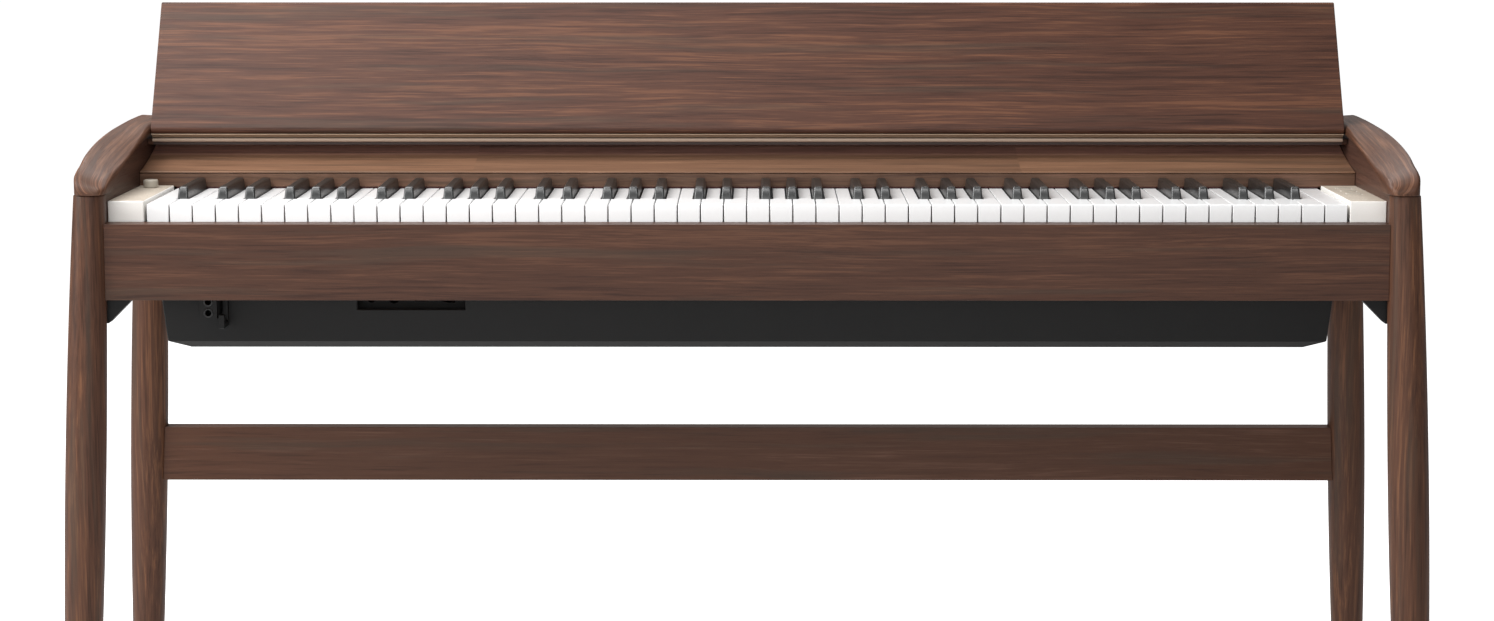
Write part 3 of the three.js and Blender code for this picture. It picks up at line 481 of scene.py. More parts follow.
def rounded(corners, steps=ARC_STEPS):
    """An outline of (u, v) corners, each rounded by its own radius."""
    outline = []
    for i, (corner, radius) in enumerate(corners):
        before, after = Vector(corners[i - 1][0]), Vector(corners[(i + 1) % len(corners)][0])
        middle = Vector(corner)
        start = middle + (before - middle).normalized() * radius
        end = middle + (after - middle).normalized() * radius
        for k in range(steps + 1):
            angle = k / steps * math.pi / 2
            toward_start = (start - middle) * (1 - math.sin(angle))
            toward_end = (end - middle) * (1 - math.cos(angle))
            outline.append(tuple(middle + toward_start + toward_end))
    return outline


def standing_at(node):
    """A move from the origin to the middle of a CAD node's underside."""
    low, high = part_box(node)
    return Matrix.Translation(((low.x + high.x) / 2, (low.y + high.y) / 2, low.z))


def turned_mesh(profile, steps, ring=False):
    """A turned solid about Z from its (radius, height) profile.

    The profile starts and ends on the axis, or closes on itself where the solid is a ring.
    """
    shape = bmesh.new()
    turns = [2 * math.pi * i / steps for i in range(steps)]
    hoops = []
    for radius, height in profile:
        around = turns if radius else [0]
        hoops.append([shape.verts.new((radius * math.cos(a), radius * math.sin(a), height)) for a in around])
    for lower, upper in zip(hoops, hoops[1:] + (hoops[:1] if ring else [])):
        for i in range(steps):
            j = (i + 1) % steps
            corners = [lower[k % len(lower)] for k in (i, j)] + [upper[k % len(upper)] for k in (j, i)]
            corners = list(dict.fromkeys(corners))
            if len(corners) > 2:
                shape.faces.new(corners)
    bmesh.ops.recalc_face_normals(shape, faces=shape.faces)
    return mesh_from(shape)


def swept_across(outline, low, high):
    """A closed outline of (y, z) places swept along X."""
    shape = bmesh.new()
    ends = [[shape.verts.new((x, y, z)) for y, z in outline] for x in (low, high)]
    shape.faces.new(ends[0])
    shape.faces.new(ends[1])
    count = len(outline)
    for i in range(count):
        j = (i + 1) % count
        shape.faces.new([ends[0][i], ends[0][j], ends[1][j], ends[1][i]])
    bmesh.ops.recalc_face_normals(shape, faces=shape.faces)
    return mesh_from(shape)


# ------------------------------------------------------------------ geometry trees


def grown(mesh, tree, values):
    """The mesh that a geometry tree makes of another mesh, with these values in its inputs."""
    carrier = carried(mesh)
    modifier = carrier.modifiers.new("grow", "NODES")
    modifier.node_group = tree
    sockets = {item.name: item.identifier for item in tree.interface.items_tree if item.in_out == "INPUT"}
    for label, value in values.items():
        modifier[sockets[label]] = value
    return evaluated_mesh(carrier)


def points_mesh(places):
    mesh = bpy.data.meshes.new("places")
    mesh.from_pydata([tuple(place) for place in places], [], [])
    return mesh


GEOMETRY_IN = ("Geometry", "NodeSocketGeometry", None)
FINISH_IN = ("Finish", "NodeSocketMaterial", None)
GEOMETRY_OUT = ("Geometry", "NodeSocketGeometry")


def finish_tree(wiring, geometry, finish, result):
    """Ends a geometry tree: instances made real, smooth shading and the finish."""
    real = wiring.first("GeometryNodeRealizeInstances", {"Geometry": geometry})
    smooth = wiring.first("GeometryNodeSetShadeSmooth", {"Geometry": real})
    ended = wiring.first("GeometryNodeSetMaterial", {"Geometry": smooth, "Material": finish})
    wiring.link(ended, result["Geometry"])


def make_leg_tree():
    """A leg: a cylinder whose level rings follow a leaning axis and a radius that swells and tapers."""
    tree, wiring, given, result = new_group(
        "tapered_leg",
        "GeometryNodeTree",
        [
            GEOMETRY_IN,
            ("Sides", "NodeSocketInt", 72),
            ("Levels", "NodeSocketInt", 56),
            *numbers(Low=0.0, High=0.7, Seat=0.7, Foot_radius=0.01, Belly_radius=0.02, Top_radius=0.016),
            *numbers(Belly_height=0.4, Axis_X=0.0, Splay=0.0, Axis_Y=0.0, Rake=0.0),
            FINISH_IN,
        ],
        [GEOMETRY_OUT],
    )
    maths = wiring.maths
    inputs = {"Vertices": given["Sides"], "Side Segments": given["Levels"], "Radius": 1.0, "Depth": 1.0}
    bar = wiring.node("GeometryNodeMeshCylinder", inputs, fill_type="NGON").outputs["Mesh"]
    place = wiring.first("GeometryNodeInputPosition")
    ring = wiring.node("ShaderNodeSeparateXYZ", {0: place}).outputs
    share = maths("ADD", ring["Z"], 0.5)
    height = maths("MULTIPLY_ADD", share, maths("SUBTRACT", given["High"], given["Low"]), given["Low"])
    belly = given["Belly height"]
    below = maths("DIVIDE", maths("SUBTRACT", belly, height), belly)
    above = maths("DIVIDE", maths("SUBTRACT", height, belly), maths("SUBTRACT", given["Seat"], belly))
    taper = maths(
        "MULTIPLY",
        maths("SUBTRACT", given["Belly radius"], given["Foot radius"]),
        maths("POWER", maths("MAXIMUM", below, 0.0), 1.75),
    )
    narrowing = maths(
        "MULTIPLY",
        maths("SUBTRACT", given["Belly radius"], given["Top radius"]),
        maths("POWER", maths("MAXIMUM", above, 0.0), 2.1),
    )
    radius = maths("SUBTRACT", maths("SUBTRACT", given["Belly radius"], taper), narrowing)
    drop = maths("DIVIDE", maths("SUBTRACT", given["Seat"], height), given["Seat"])
    upright_x = maths("MULTIPLY_ADD", ring["X"], radius, given["Axis X"])
    upright_y = maths("MULTIPLY_ADD", ring["Y"], radius, given["Axis Y"])
    x = maths("MULTIPLY_ADD", given["Splay"], drop, upright_x)
    y = maths("MULTIPLY_ADD", given["Rake"], drop, upright_y)
    moved = wiring.first("ShaderNodeCombineXYZ", {0: x, 1: y, 2: height})
    leg = wiring.first("GeometryNodeSetPosition", {"Geometry": bar, "Position": moved})
    finish_tree(wiring, leg, given["Finish"], result)
    return tree


def make_screw_tree():
    """A domed screw head with a hexagonal socket at every point, facing one way."""
    tree, wiring, given, result = new_group(
        "screw_heads",
        "GeometryNodeTree",
        [
            GEOMETRY_IN,
            *numbers(Head_radius=0.004, Head_height=0.0014),
            ("Facing", "NodeSocketRotation", (0, 0, 0)),
            FINISH_IN,
        ],
        [GEOMETRY_OUT],
    )
    radius, height = given["Head radius"], given["Head height"]
    rim = wiring.times(radius, 0.72)
    dome = {"Vertices": 24, "Side Segments": 3, "Radius Top": rim, "Radius Bottom": radius, "Depth": height}
    head = wiring.node("GeometryNodeMeshCone", dome).outputs["Mesh"]
    inputs = {"Vertices": 6, "Radius": wiring.times(radius, 0.42), "Depth": height}
    drive = wiring.node("GeometryNodeMeshCylinder", inputs).outputs["Mesh"]
    raised = wiring.first("ShaderNodeCombineXYZ", {2: wiring.times(height, 0.8)})
    drive = wiring.first("GeometryNodeTransform", {"Geometry": drive, "Translation": raised})
    hollow = wiring.node("GeometryNodeMeshBoolean", operation="DIFFERENCE")
    wiring.link(head, hollow.inputs["Mesh 1"])
    wiring.link(drive, hollow.inputs["Mesh 2"])
    inputs = {"Points": given["Geometry"], "Instance": hollow.outputs[0], "Rotation": given["Facing"]}
    heads = wiring.first("GeometryNodeInstanceOnPoints", inputs)
    finish_tree(wiring, heads, given["Finish"], result)
    return tree


def make_knuckle_tree():
    """Hinge knuckles: short tubes along X, one at every point."""
    tree, wiring, given, result = new_group(
        "hinge_knuckles",
        "GeometryNodeTree",
        [GEOMETRY_IN, *numbers(Radius=0.002, Length=0.02), FINISH_IN],
        [GEOMETRY_OUT],
    )
    inputs = {"Vertices": 20, "Radius": given["Radius"], "Depth": given["Length"]}
    tube = wiring.node("GeometryNodeMeshCylinder", inputs).outputs["Mesh"]
    inputs = {"Geometry": tube, "Rotation": (0, math.pi / 2, 0)}
    turned = wiring.first("GeometryNodeTransform", inputs)
    inputs = {"Points": given["Geometry"], "Instance": turned}
    tubes = wiring.first("GeometryNodeInstanceOnPoints", inputs)
    finish_tree(wiring, tubes, given["Finish"], result)
    return tree


def make_copies_tree():
    """The given object's mesh, once at every point."""
    tree, wiring, given, result = new_group(
        "copies_on_points",
        "GeometryNodeTree",
        [GEOMETRY_IN, ("Original", "NodeSocketObject", None), FINISH_IN],
        [GEOMETRY_OUT],
    )
    original = wiring.node("GeometryNodeObjectInfo", {"Object": given["Original"]}).outputs["Geometry"]
    inputs = {"Points": given["Geometry"], "Instance": original}
    copies = wiring.first("GeometryNodeInstanceOnPoints", inputs)
    finish_tree(wiring, copies, given["Finish"], result)
    return tree


leg_tree = make_leg_tree()
screw_tree = make_screw_tree()
knuckle_tree = make_knuckle_tree()
copies_tree = make_copies_tree()


def copied(original_mesh, places, finish):
    """One mesh of copies of a small mesh at these places."""
    original = carried(original_mesh)
    mesh = grown(points_mesh(places), copies_tree, {"Original": original, "Finish": finish})
    bpy.data.objects.remove(original)
    return mesh


def screws(name, node, places, facing, finish="black_steel", radius=4 * MM):
    """Screw heads on a CAD node, facing one way."""
    values = {"Head radius": radius, "Head height": 1.6 * MM, "Facing": facing, "Finish": FINISH[finish]}
    return piece(name, grown(points_mesh(places), screw_tree, values), node, FINISH[finish])


# ------------------------------------------------------------------ stand

SIDES = (("left", -1), ("right", 1))
ROWS = (("front", -1), ("rear", 1))
LEG = {"foot": 11.8, "belly": 20.7, "top": 15.8, "belly_share": 0.565, "splay": 31, "rake": 18}


def make_legs():
    for row, way in ROWS:
        for side, out in SIDES:
            node = f"leg_{row}_{side}"
            low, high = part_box(node)
            foot_low, foot_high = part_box(f"glide_{row}_{side}")
            foot = (foot_low + foot_high) / 2
            values = {
                "Low": low.z,
                "High": high.z,
                "Seat": front_seat,
                "Foot radius": LEG["foot"] * MM,
                "Belly radius": LEG["belly"] * MM,
                "Top radius": LEG["top"] * MM,
                "Belly height": LEG["belly_share"] * front_seat,
                "Axis X": foot.x - out * LEG["splay"] * MM,
                "Splay": out * LEG["splay"] * MM,
                "Axis Y": foot.y - way * LEG["rake"] * MM,
                "Rake": way * LEG["rake"] * MM,
                "Finish": FINISH[node],
            }
            mesh = eased(grown(points_mesh([]), leg_tree, values), 1.5 * MM)
            piece(f"turned_{node}", mesh, node, FINISH[node], [node])


def make_glides():
    for row, _ in ROWS:
        for side, _ in SIDES:
            node = f"glide_{row}_{side}"
            low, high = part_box(node)
            radius, height = (high.x - low.x) / 2, high.z - low.z
            profile = [(0, 0), (radius - 1.6 * MM, 0), (radius - 0.5 * MM, 0.5 * MM), (radius, 1.6 * MM)]
            profile += [(radius, height - 1.2 * MM), (radius - 0.8 * MM, height - 0.6 * MM)]
            profile += [(radius - 0.8 * MM, height), (0, height)]
            mesh = turned_mesh(profile, 48)
            mesh.transform(standing_at(node))
            piece(f"foot_{node}", eased(mesh, 0.2 * MM, 2), node, FINISH["nylon"], [node])


def make_stretcher():
    eased_piece("stretcher_board", "rear_stretcher", FINISH["stretcher"], 2.2 * MM, 4)
    low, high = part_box("rear_stretcher")
    middle = (low.z + high.z) / 2
    places = [
        (out * (high.x - 22 * MM), high.y, middle + shift * MM) for _, out in SIDES for shift in (-15, 15)
    ]
    screws("stretcher_screws", "rear_stretcher", places, (-math.pi / 2, 0, 0))


def make_brackets():
    for side, _ in SIDES:
        node = f"corner_bracket_{side}"
        eased_piece(f"bracket_{side}", node, FINISH["black_steel"], 0.8 * MM)


# ------------------------------------------------------------------ arms and case


# The arms, in millimetres behind the key fronts and above the key tops.
ARM = {
    "front": -35,
    "back": 290,
    "corner": 11,
    "nose": 3,
    "outer_round": 7,
    "inner_round": 4.5,
    "lower_round": 1.2,
    "slice": 4,
    "dense_end": 18,
    "front_seat": 12.5,
    "rear_seat": 56,
    "tail": 60,
}
ARM_OUTER = [(-35, 17.5), (-30, 26), (-20, 34), (-7, 40), (12, 45.4), (44, 52), (84.6, 58)]
ARM_OUTER += [(140, 63.6), (200, 67.2), (262, 68.8), (282, 68.6)]
ARM_INNER = [(-35, 17.5), (-5, 26.3), (38, 33.3), (79, 40.9), (117, 48.6), (153, 56.2)]
ARM_INNER += [(179, 62), (205, 64.8), (270, 66.6), (282, 66.4)]
ARM_UNDER = [(0, 12.5), (8, 16), (26, 24.5), (70, 35.5), (117, 44.5), (160, 51), (194, 54.6), (235, 56)]


def smooth_line(places, steps=12):
    """Places on a smooth curve through these (depth, rise) places."""
    line = []
    for i, (place, following) in enumerate(zip(places, places[1:])):
        a, b = Vector(place), Vector(following)
        leaving = (b - Vector(places[max(i - 1, 0)])) / 2
        arriving = (Vector(places[min(i + 2, len(places) - 1)]) - a) / 2
        for k in range(steps):
            t = k / steps
            cubic = (2 * a - 2 * b + leaving + arriving) * t**3
            line.append(cubic + (3 * b - 3 * a - 2 * leaving - arriving) * t**2 + leaving * t + a)
    return [*line, Vector(places[-1])]


def height_on(line, depth):
    """The rise of a line of places at a depth."""
    i = max(1, next((k for k, place in enumerate(line) if place[0] >= depth), len(line) - 1))
    a, b = line[i - 1], line[i]
    return a[1] + (b[1] - a[1]) * (depth - a[0]) / (b[0] - a[0])


def arm_depths():
    """Depths of an arm's sections, close together at its rounded ends."""
    near = [0, 0.15, 0.5, 1, 1.7, 2.4, 3, 4.5, 6.5, 9, 12, 15]
    front, end, dense = ARM["front"], ARM["back"], ARM["dense_end"]
    span = end - front - 2 * dense
    count = round(span / ARM["slice"])
    middle = [front + dense + span * i / count for i in range(count + 1)]
    return [front + step for step in near] + middle + [end - step for step in reversed(near)]


def arm_section(depth, lines, outer, inner):
    """An arm's rounded section at a depth, as (x, rise) places, and the rise of its outer edge."""
    near, far = depth - ARM["front"], ARM["back"] - depth
    inset = sum(
        ARM["corner"] * (1 - math.sqrt(min(1, reach / (ARM["corner"] * ratio)))) ** 2
        for reach, ratio in ((near, 1.6), (far, 1.0))
    )
    nose = ARM["nose"] * (1 - math.sqrt(1 - max(0, 1 - min(near, far) / ARM["nose"]) ** 2))
    outer_line, inner_line, under_line = lines
    outer_top, inner_top = height_on(outer_line, depth) - nose, height_on(inner_line, depth) - nose
    under = height_on(under_line, depth)
    outer, inner = outer - inset, inner + inset
    room = 0.45 * min(inner_top - under, outer - inner)
    corners = [
        ((outer, under), min(ARM["lower_round"], room)),
        ((outer, outer_top), min(ARM["outer_round"], room)),
        ((inner, inner_top), min(ARM["inner_round"], room)),
        ((inner, under), min(ARM["lower_round"], room)),
    ]
    return rounded(corners, ARC_STEPS), outer_top


def arm_mesh(side, out):
    """An arm lofted through its sections. Its UV map runs back along it and round each section."""
    low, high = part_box(f"arm_{side}")
    inner, outer = sorted((abs(low.x) / MM, abs(high.x) / MM))
    lines = (
        [*smooth_line(ARM_OUTER), Vector((ARM["back"], ARM["tail"]))],
        [*smooth_line(ARM_INNER), Vector((ARM["back"], ARM["tail"]))],
        [
            Vector((ARM["front"], ARM["front_seat"])),
            *smooth_line(ARM_UNDER),
            Vector((ARM["back"], ARM["rear_seat"])),
        ],
    )
    shape = bmesh.new()
    along = shape.loops.layers.uv.new("along")
    hoops, before, run = [], None, 0.0
    for depth in arm_depths():
        section, outer_top = arm_section(depth, lines, outer, inner)
        girth = [0.0]
        for one, other in zip(section, section[1:] + section[:1]):
            girth.append(girth[-1] + (Vector(other) - Vector(one)).length * MM)
        crest = girth[ARC_STEPS + 1 + ARC_STEPS // 2]
        if before:
            run += (Vector((depth, outer_top)) - before).length * MM
        before = Vector((depth, outer_top))
        verts = [shape.verts.new((out * x * MM, back(depth), up(z))) for x, z in section]
        hoops.append((verts, run, [length - crest for length in girth]))
    for (one, run_one, girth_one), (other, run_other, girth_other) in zip(hoops, hoops[1:]):
        for k in range(len(one)):
            n = (k + 1) % len(one)
            face = shape.faces.new([one[k], other[k], other[n], one[n]])
            places = [(run_one, girth_one[k]), (run_other, girth_other[k])]
            places += [(run_other, girth_other[k + 1]), (run_one, girth_one[k + 1])]
            for loop, place in zip(face.loops, places):
                loop[along].uv = place
    for verts, _, _ in (hoops[0], hoops[-1]):
        for loop in shape.faces.new(verts).loops:
            loop[along].uv = (loop.vert.co.z, abs(loop.vert.co.x))
    bmesh.ops.recalc_face_normals(shape, faces=shape.faces)
    return shaded(mesh_from(shape))


def make_case_boards():
    for side, out in SIDES:
        node = f"arm_{side}"
        piece(f"curved_{node}", arm_mesh(side, out), node, FINISH[node], [node])
        eased_piece(f"side_board_{side}", f"side_panel_{side}", FINISH["side"], 0.8 * MM)
    eased_piece("front_rail_board", "front_rail", FINISH["rail"], 2.0 * MM, 4)
    eased_piece("keybed_board", "keybed", FINISH["keybed"], 0.8 * MM)
    eased_piece("back_board", "back_panel", FINISH["back_board"], 1.0 * MM)
    eased_piece("rear_top_shelf", "rear_top_board", FINISH["top_board"], 1.2 * MM)
    eased_piece("nameboard_strip", "nameboard", FINISH["nameboard"], 0.8 * MM)
    eased_piece("felt_strip", "nameboard_felt", FINISH["felt"], 0.25 * MM)


SLOPE = {"middle_depth": 198, "middle_rise": 25.5, "nosing": 2, "thickness": 9, "steps": 36}


def make_slope():
    """The hollowed veneered panel behind the keys, with a rounded front edge."""
    low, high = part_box("sloped_panel")
    front = Vector((low.y, low.z + SLOPE["nosing"] * MM))
    middle = Vector((back(SLOPE["middle_depth"]), up(SLOPE["middle_rise"])))
    rear = Vector((high.y, high.z))

    def curve(a, b, c, share):
        return a * (1 - share) ** 2 + b * 2 * share * (1 - share) + c * share**2

    shares = [i / SLOPE["steps"] for i in range(SLOPE["steps"] + 1)]
    upper = [curve(front, middle, rear, share) for share in shares]
    sunk = Vector((0, -SLOPE["nosing"] * MM))
    floor = [
        curve(front + sunk, middle - Vector((0, (SLOPE["thickness"] - 1) * MM)),
              rear - Vector((0, SLOPE["thickness"] * MM)), share)
        for share in reversed(shares)
    ]
    outline = [tuple(point) for point in upper + floor]
    mesh = eased(swept_across(outline, low.x, high.x), 1.1 * MM, 3)
    piece("sloped_fascia", mesh, "sloped_panel", FINISH["slope"], ["sloped_panel"])


# ------------------------------------------------------------------ keyboard

WHITE_COUNT = 52
PITCH = 23.5
KEY_GAP = 1.0
HEAD = 50
KEY_LENGTH = 226
KEY_DEPTH = 14
SKIRT = (16, 20)
SLOT = 13.7
BLACK = {"base": 11.2, "top": 9.2, "rise": 12, "front": 50.7, "slope": 5, "cap_end": 147.5}
COMB = {"from": 214, "to": 225, "thickness": 6, "clear": 1.5, "post": 3, "end": 4}
MIDDLE_OCTAVE = 4
LETTERS = "ABCDEFG"
GROUPS = {"C": (0, 3), "D": (1, 3), "E": (2, 3), "F": (0, 4), "G": (1, 4), "A": (2, 4), "B": (3, 4)}
keyboard_left = -WHITE_COUNT * PITCH / 2


def letter(index):
    return LETTERS[index % len(LETTERS)]


def octave(index):
    return (index + 5) // len(LETTERS)


def white_edge(index):
    return keyboard_left + PITCH * index


def black_follows(index):
    return 0 <= index < WHITE_COUNT - 1 and letter(index) not in "BE"


def black_middle(index):
    """Middle of the black key after a white one: within a group all the white tails are equal."""
    place, size = GROUPS[letter(index)]
    tail = (size * PITCH - (size - 1) * SLOT) / size
    return white_edge(index) - place * PITCH + (place + 1) * tail + (place + 0.5) * SLOT


def white_tail(index):
    """The left and right sides of a white key beside its black neighbours."""
    left, right = white_edge(index) + KEY_GAP / 2, white_edge(index + 1) - KEY_GAP / 2
    if black_follows(index - 1):
        left = black_middle(index - 1) + SLOT / 2
    if black_follows(index):
        right = black_middle(index) - SLOT / 2
    return left, right


def add_white_key(shape, index):
    """Adds a white key: a lever with its notches, and a skirt below its front end."""
    left, right = white_edge(index) + KEY_GAP / 2, white_edge(index + 1) - KEY_GAP / 2
    tail_left, tail_right = white_tail(index)
    skirt_back, skirt_low = SKIRT
    loop = [(left, 0), (right, 0), (right, skirt_back), (right, HEAD), (tail_right, HEAD)]
    loop += [(tail_right, KEY_LENGTH), (tail_left, KEY_LENGTH), (tail_left, HEAD)]
    loop += [(left, HEAD), (left, skirt_back)]
    loop = [place for i, place in enumerate(loop) if place != loop[i - 1]]

    def ring(rise, places):
        return [shape.verts.new((x * MM, back(depth), up(rise))) for x, depth in places]

    top = ring(0, loop)
    under = dict(zip(loop[2:], ring(-KEY_DEPTH, loop[2:])))
    skirt = dict(zip(loop[:3] + loop[-1:], ring(-skirt_low, loop[:3] + loop[-1:])))
    above = dict(zip(loop, top))
    top_face = shape.faces.new(top)
    shape.faces.new([under[place] for place in reversed(loop[2:])])
    shape.faces.new([skirt[place] for place in reversed(loop[:3] + loop[-1:])])
    a, b, c, z = loop[0], loop[1], loop[2], loop[-1]
    front = shape.faces.new([above[b], above[a], skirt[a], skirt[b]])
    shape.faces.new([above[c], above[b], skirt[b], skirt[c], under[c]])
    shape.faces.new([above[a], above[z], under[z], skirt[z], skirt[a]])
    shape.faces.new([under[z], under[c], skirt[c], skirt[z]])
    for one, other in zip(loop[2:], loop[3:]):
        shape.faces.new([above[other], above[one], under[one], under[other]])
    return {*top_face.edges, *front.edges}


def white_key_mesh(members, with_bar):
    shape = bmesh.new()
    edges = set()
    for index in members:
        edges |= add_white_key(shape, index)
    bmesh.ops.recalc_face_normals(shape, faces=shape.faces)
    bevel_edges(shape, list(edges), 0.75 * MM, 3)
    if with_bar:
        middles = [sum(white_tail(index)) / 2 for index in members]
        low = -KEY_DEPTH - COMB["clear"] - COMB["thickness"]
        add_comb_bar(shape, middles, low, low + 1, -KEY_DEPTH + 1)
    return shaded(mesh_from(shape))


def add_comb_bar(shape, middles, low, post_low, post_high):
    """Adds the hidden bar that joins the keys of one register, and its posts."""
    from_y, to_y = back(COMB["from"]), back(COMB["to"])
    ends = [(middles[0] - COMB["end"]) * MM, (middles[-1] + COMB["end"]) * MM]
    add_box(shape, (ends[0], from_y, up(low)), (ends[1], to_y, up(low + COMB["thickness"])))
    for middle in middles:
        left, right = (middle - COMB["post"]) * MM, (middle + COMB["post"]) * MM
        add_box(shape, (left, from_y, up(post_low)), (right, to_y, up(post_high)))


def shaded(mesh):
    """The mesh shaded smooth, with its large faces kept flat."""
    mesh.shade_smooth()
    carrier = carried(mesh)
    shading = carrier.modifiers.new("shading", "WEIGHTED_NORMAL")
    shading.mode = "FACE_AREA"
    shading.weight = 60
    return evaluated_mesh(carrier)


def black_key_mesh():
    """One black key about X = 0: tapered sides, a leaning front and well rounded upper edges."""
    front, slope, end = BLACK["front"], BLACK["slope"], BLACK["cap_end"]
    wide, narrow, rise = BLACK["base"] / 2, BLACK["top"] / 2, BLACK["rise"]
    places = {
        "foot": (front, -KEY_DEPTH, wide),
        "tail_low": (KEY_LENGTH, -KEY_DEPTH, wide),
        "tail_high": (KEY_LENGTH, 0, wide),
        "step": (end, 0, wide),
        "back_top": (end, rise, narrow),
        "front_top": (front + slope, rise, narrow),
        "lip": (front, 0, wide),
    }
    shape = bmesh.new()
    corner = {
        (name, side): shape.verts.new((side * half * MM, back(depth), up(height)))
        for name, (depth, height, half) in places.items()
        for side in (-1, 1)
    }
    order = list(places)
    for name, following in zip(order, order[1:] + order[:1]):
        shape.faces.new(
            [corner[name, -1], corner[following, -1], corner[following, 1], corner[name, 1]]
        )
    for side in (-1, 1):
        shape.faces.new([corner[name, side] for name in ("foot", "tail_low", "tail_high", "step", "lip")])
        shape.faces.new([corner[name, side] for name in ("lip", "step", "back_top", "front_top")])
    bmesh.ops.recalc_face_normals(shape, faces=shape.faces)
    rounded = {frozenset((corner["back_top", side], corner["front_top", side])) for side in (-1, 1)}
    rounded |= {frozenset((corner["lip", side], corner["front_top", side])) for side in (-1, 1)}
    rounded |= {frozenset((corner[name, -1], corner[name, 1])) for name in ("front_top", "back_top")}
    edges = [edge for edge in shape.edges if frozenset(edge.verts) in rounded]
    for edge in shape.edges:
        edge.smooth = edge in edges
    bevel_edges(shape, edges, 2.1 * MM, 5)
    return shaded(mesh_from(shape))


def black_keys_mesh(members, with_bar):
    places = [(black_middle(index) * MM, 0, 0) for index in members]
    mesh = copied(black_key_mesh(), places, FINISH["black_key"])
    if with_bar:
        shape = bmesh.new()
        shape.from_mesh(mesh)
        add_comb_bar(shape, [black_middle(i) for i in members], COMB["clear"], -1, COMB["clear"] + 1)
        mesh = mesh_from(shape)
    return shaded(mesh)


def make_keys():
    every = range(WHITE_COUNT)
    for register, belongs in (
        ("bass", lambda index: octave(index) < MIDDLE_OCTAVE),
        ("treble", lambda index: octave(index) > MIDDLE_OCTAVE),
    ):
        whites = [index for index in every if belongs(index)]
        blacks = [index for index in whites if black_follows(index)]
        node = f"white_keys_{register}"
        piece(f"{register}_white_keys", white_key_mesh(whites, True), node, FINISH["white_key"], [node])
        node = f"black_keys_{register}"
        piece(f"{register}_black_keys", black_keys_mesh(blacks, True), node, FINISH["black_key"], [node])
    for index in (index for index in every if octave(index) == MIDDLE_OCTAVE):
        node = f"key_{letter(index)}4"
        piece(f"white_{node}", white_key_mesh([index], False), node, FINISH["white_key"], [node])
        if black_follows(index):
            node = f"key_{letter(index)}_sharp4"
            piece(f"black_{node}", black_keys_mesh([index], False), node, FINISH["black_key"], [node])


def make_key_action():
    """The steel chassis under the keys and the contact strip with two domes for each key."""
    eased_piece("steel_chassis", "key_chassis", FINISH["zinc"], 0.4 * MM, 2)
    eased_piece("contact_strip", "key_sensor_board", FINISH["board"], 0.2 * MM, 2)
    low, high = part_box("key_sensor_board")
    profile = [(0, 0), (3.2 * MM, 0), (3.2 * MM, 0.8 * MM), (1.8 * MM, 3.4 * MM), (0, 3.4 * MM)]
    dome = eased(turned_mesh(profile, 12), 0.3 * MM, 2)
    middles = [sum(white_tail(i)) / 2 for i in range(WHITE_COUNT)]
    middles += [black_middle(i) for i in range(WHITE_COUNT) if black_follows(i)]
    rows = (low.y + 9 * MM, high.y - 9 * MM)
    places = [(x * MM, y, high.z) for x in sorted(middles) for y in rows]
    piece("contact_domes", copied(dome, places, FINISH["dome"]), "key_sensor_board", FINISH["dome"])


def make_end_blocks():
    finishes = [FINISH["cream"], FINISH["speckled"]]
    for side, _ in SIDES:
        node = f"end_block_{side}"
        made = piece(f"key_block_{side}", eased(copy_of(node), 1.3 * MM, 4), node, finishes, [node])
        for face in made.data.polygons:
            face.material_index = 1 if face.normal.z > 0.9 else 0


def make_knob():
    low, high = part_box("volume_knob")
    radius, height = (high.x - low.x) / 2, high.z - low.z
    edge = 1.5 * MM
    corner = [
        (radius - edge + edge * math.cos(a), height - edge + edge * math.sin(a))
        for a in (math.radians(15 * i) for i in range(7))
    ]
    profile = [(0, 0), (radius - 0.4 * MM, 0), (radius, 0.4 * MM), *corner]
    dished = height - 0.35 * MM
    profile += [(radius - 2.2 * MM, height), (radius - 3.0 * MM, dished), (0, dished)]
    shape = bmesh.new()
    shape.from_mesh(turned_mesh(profile, 64))
    pointer = 0.45 * MM
    pointer_end = (pointer, radius - 3.2 * MM, height - 0.05 * MM)
    add_box(shape, (-pointer, 1.0 * MM, height - 0.6 * MM), pointer_end)
    mesh = mesh_from(shape)
    mesh.transform(standing_at("volume_knob"))
    piece("volume_dial", shaded(mesh), "volume_knob", FINISH["control"], ["volume_knob"])


def make_buttons():
    for node in ("power_button", "sound_button", "metronome_button"):
        low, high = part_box(node)
        shape = bmesh.new()
        add_box(shape, low, high)
        upright = [edge for edge in shape.edges if abs(edge.verts[0].co.z - edge.verts[1].co.z) > MM]
        bevel_edges(shape, upright, 1.8 * MM, 5)
        piece(f"rounded_{node}", eased(mesh_from(shape), 0.45 * MM, 3), node, FINISH["control"], [node])


# ------------------------------------------------------------------ tray, speakers and sockets


def make_tray():
    eased_piece("tray_shell", "speaker_tray", FINISH["charcoal"], 1.4 * MM, 3, 12)
    low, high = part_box("speaker_tray")
    inset, count = 34 * MM, 7
    reach = high.x - inset
    places = [
        (-reach + 2 * reach * i / (count - 1), y, low.z)
        for i in range(count)
        for y in (low.y + inset, high.y - inset)
    ]
    screws("tray_screws", "speaker_tray", places, (math.pi, 0, 0), radius=3.6 * MM)


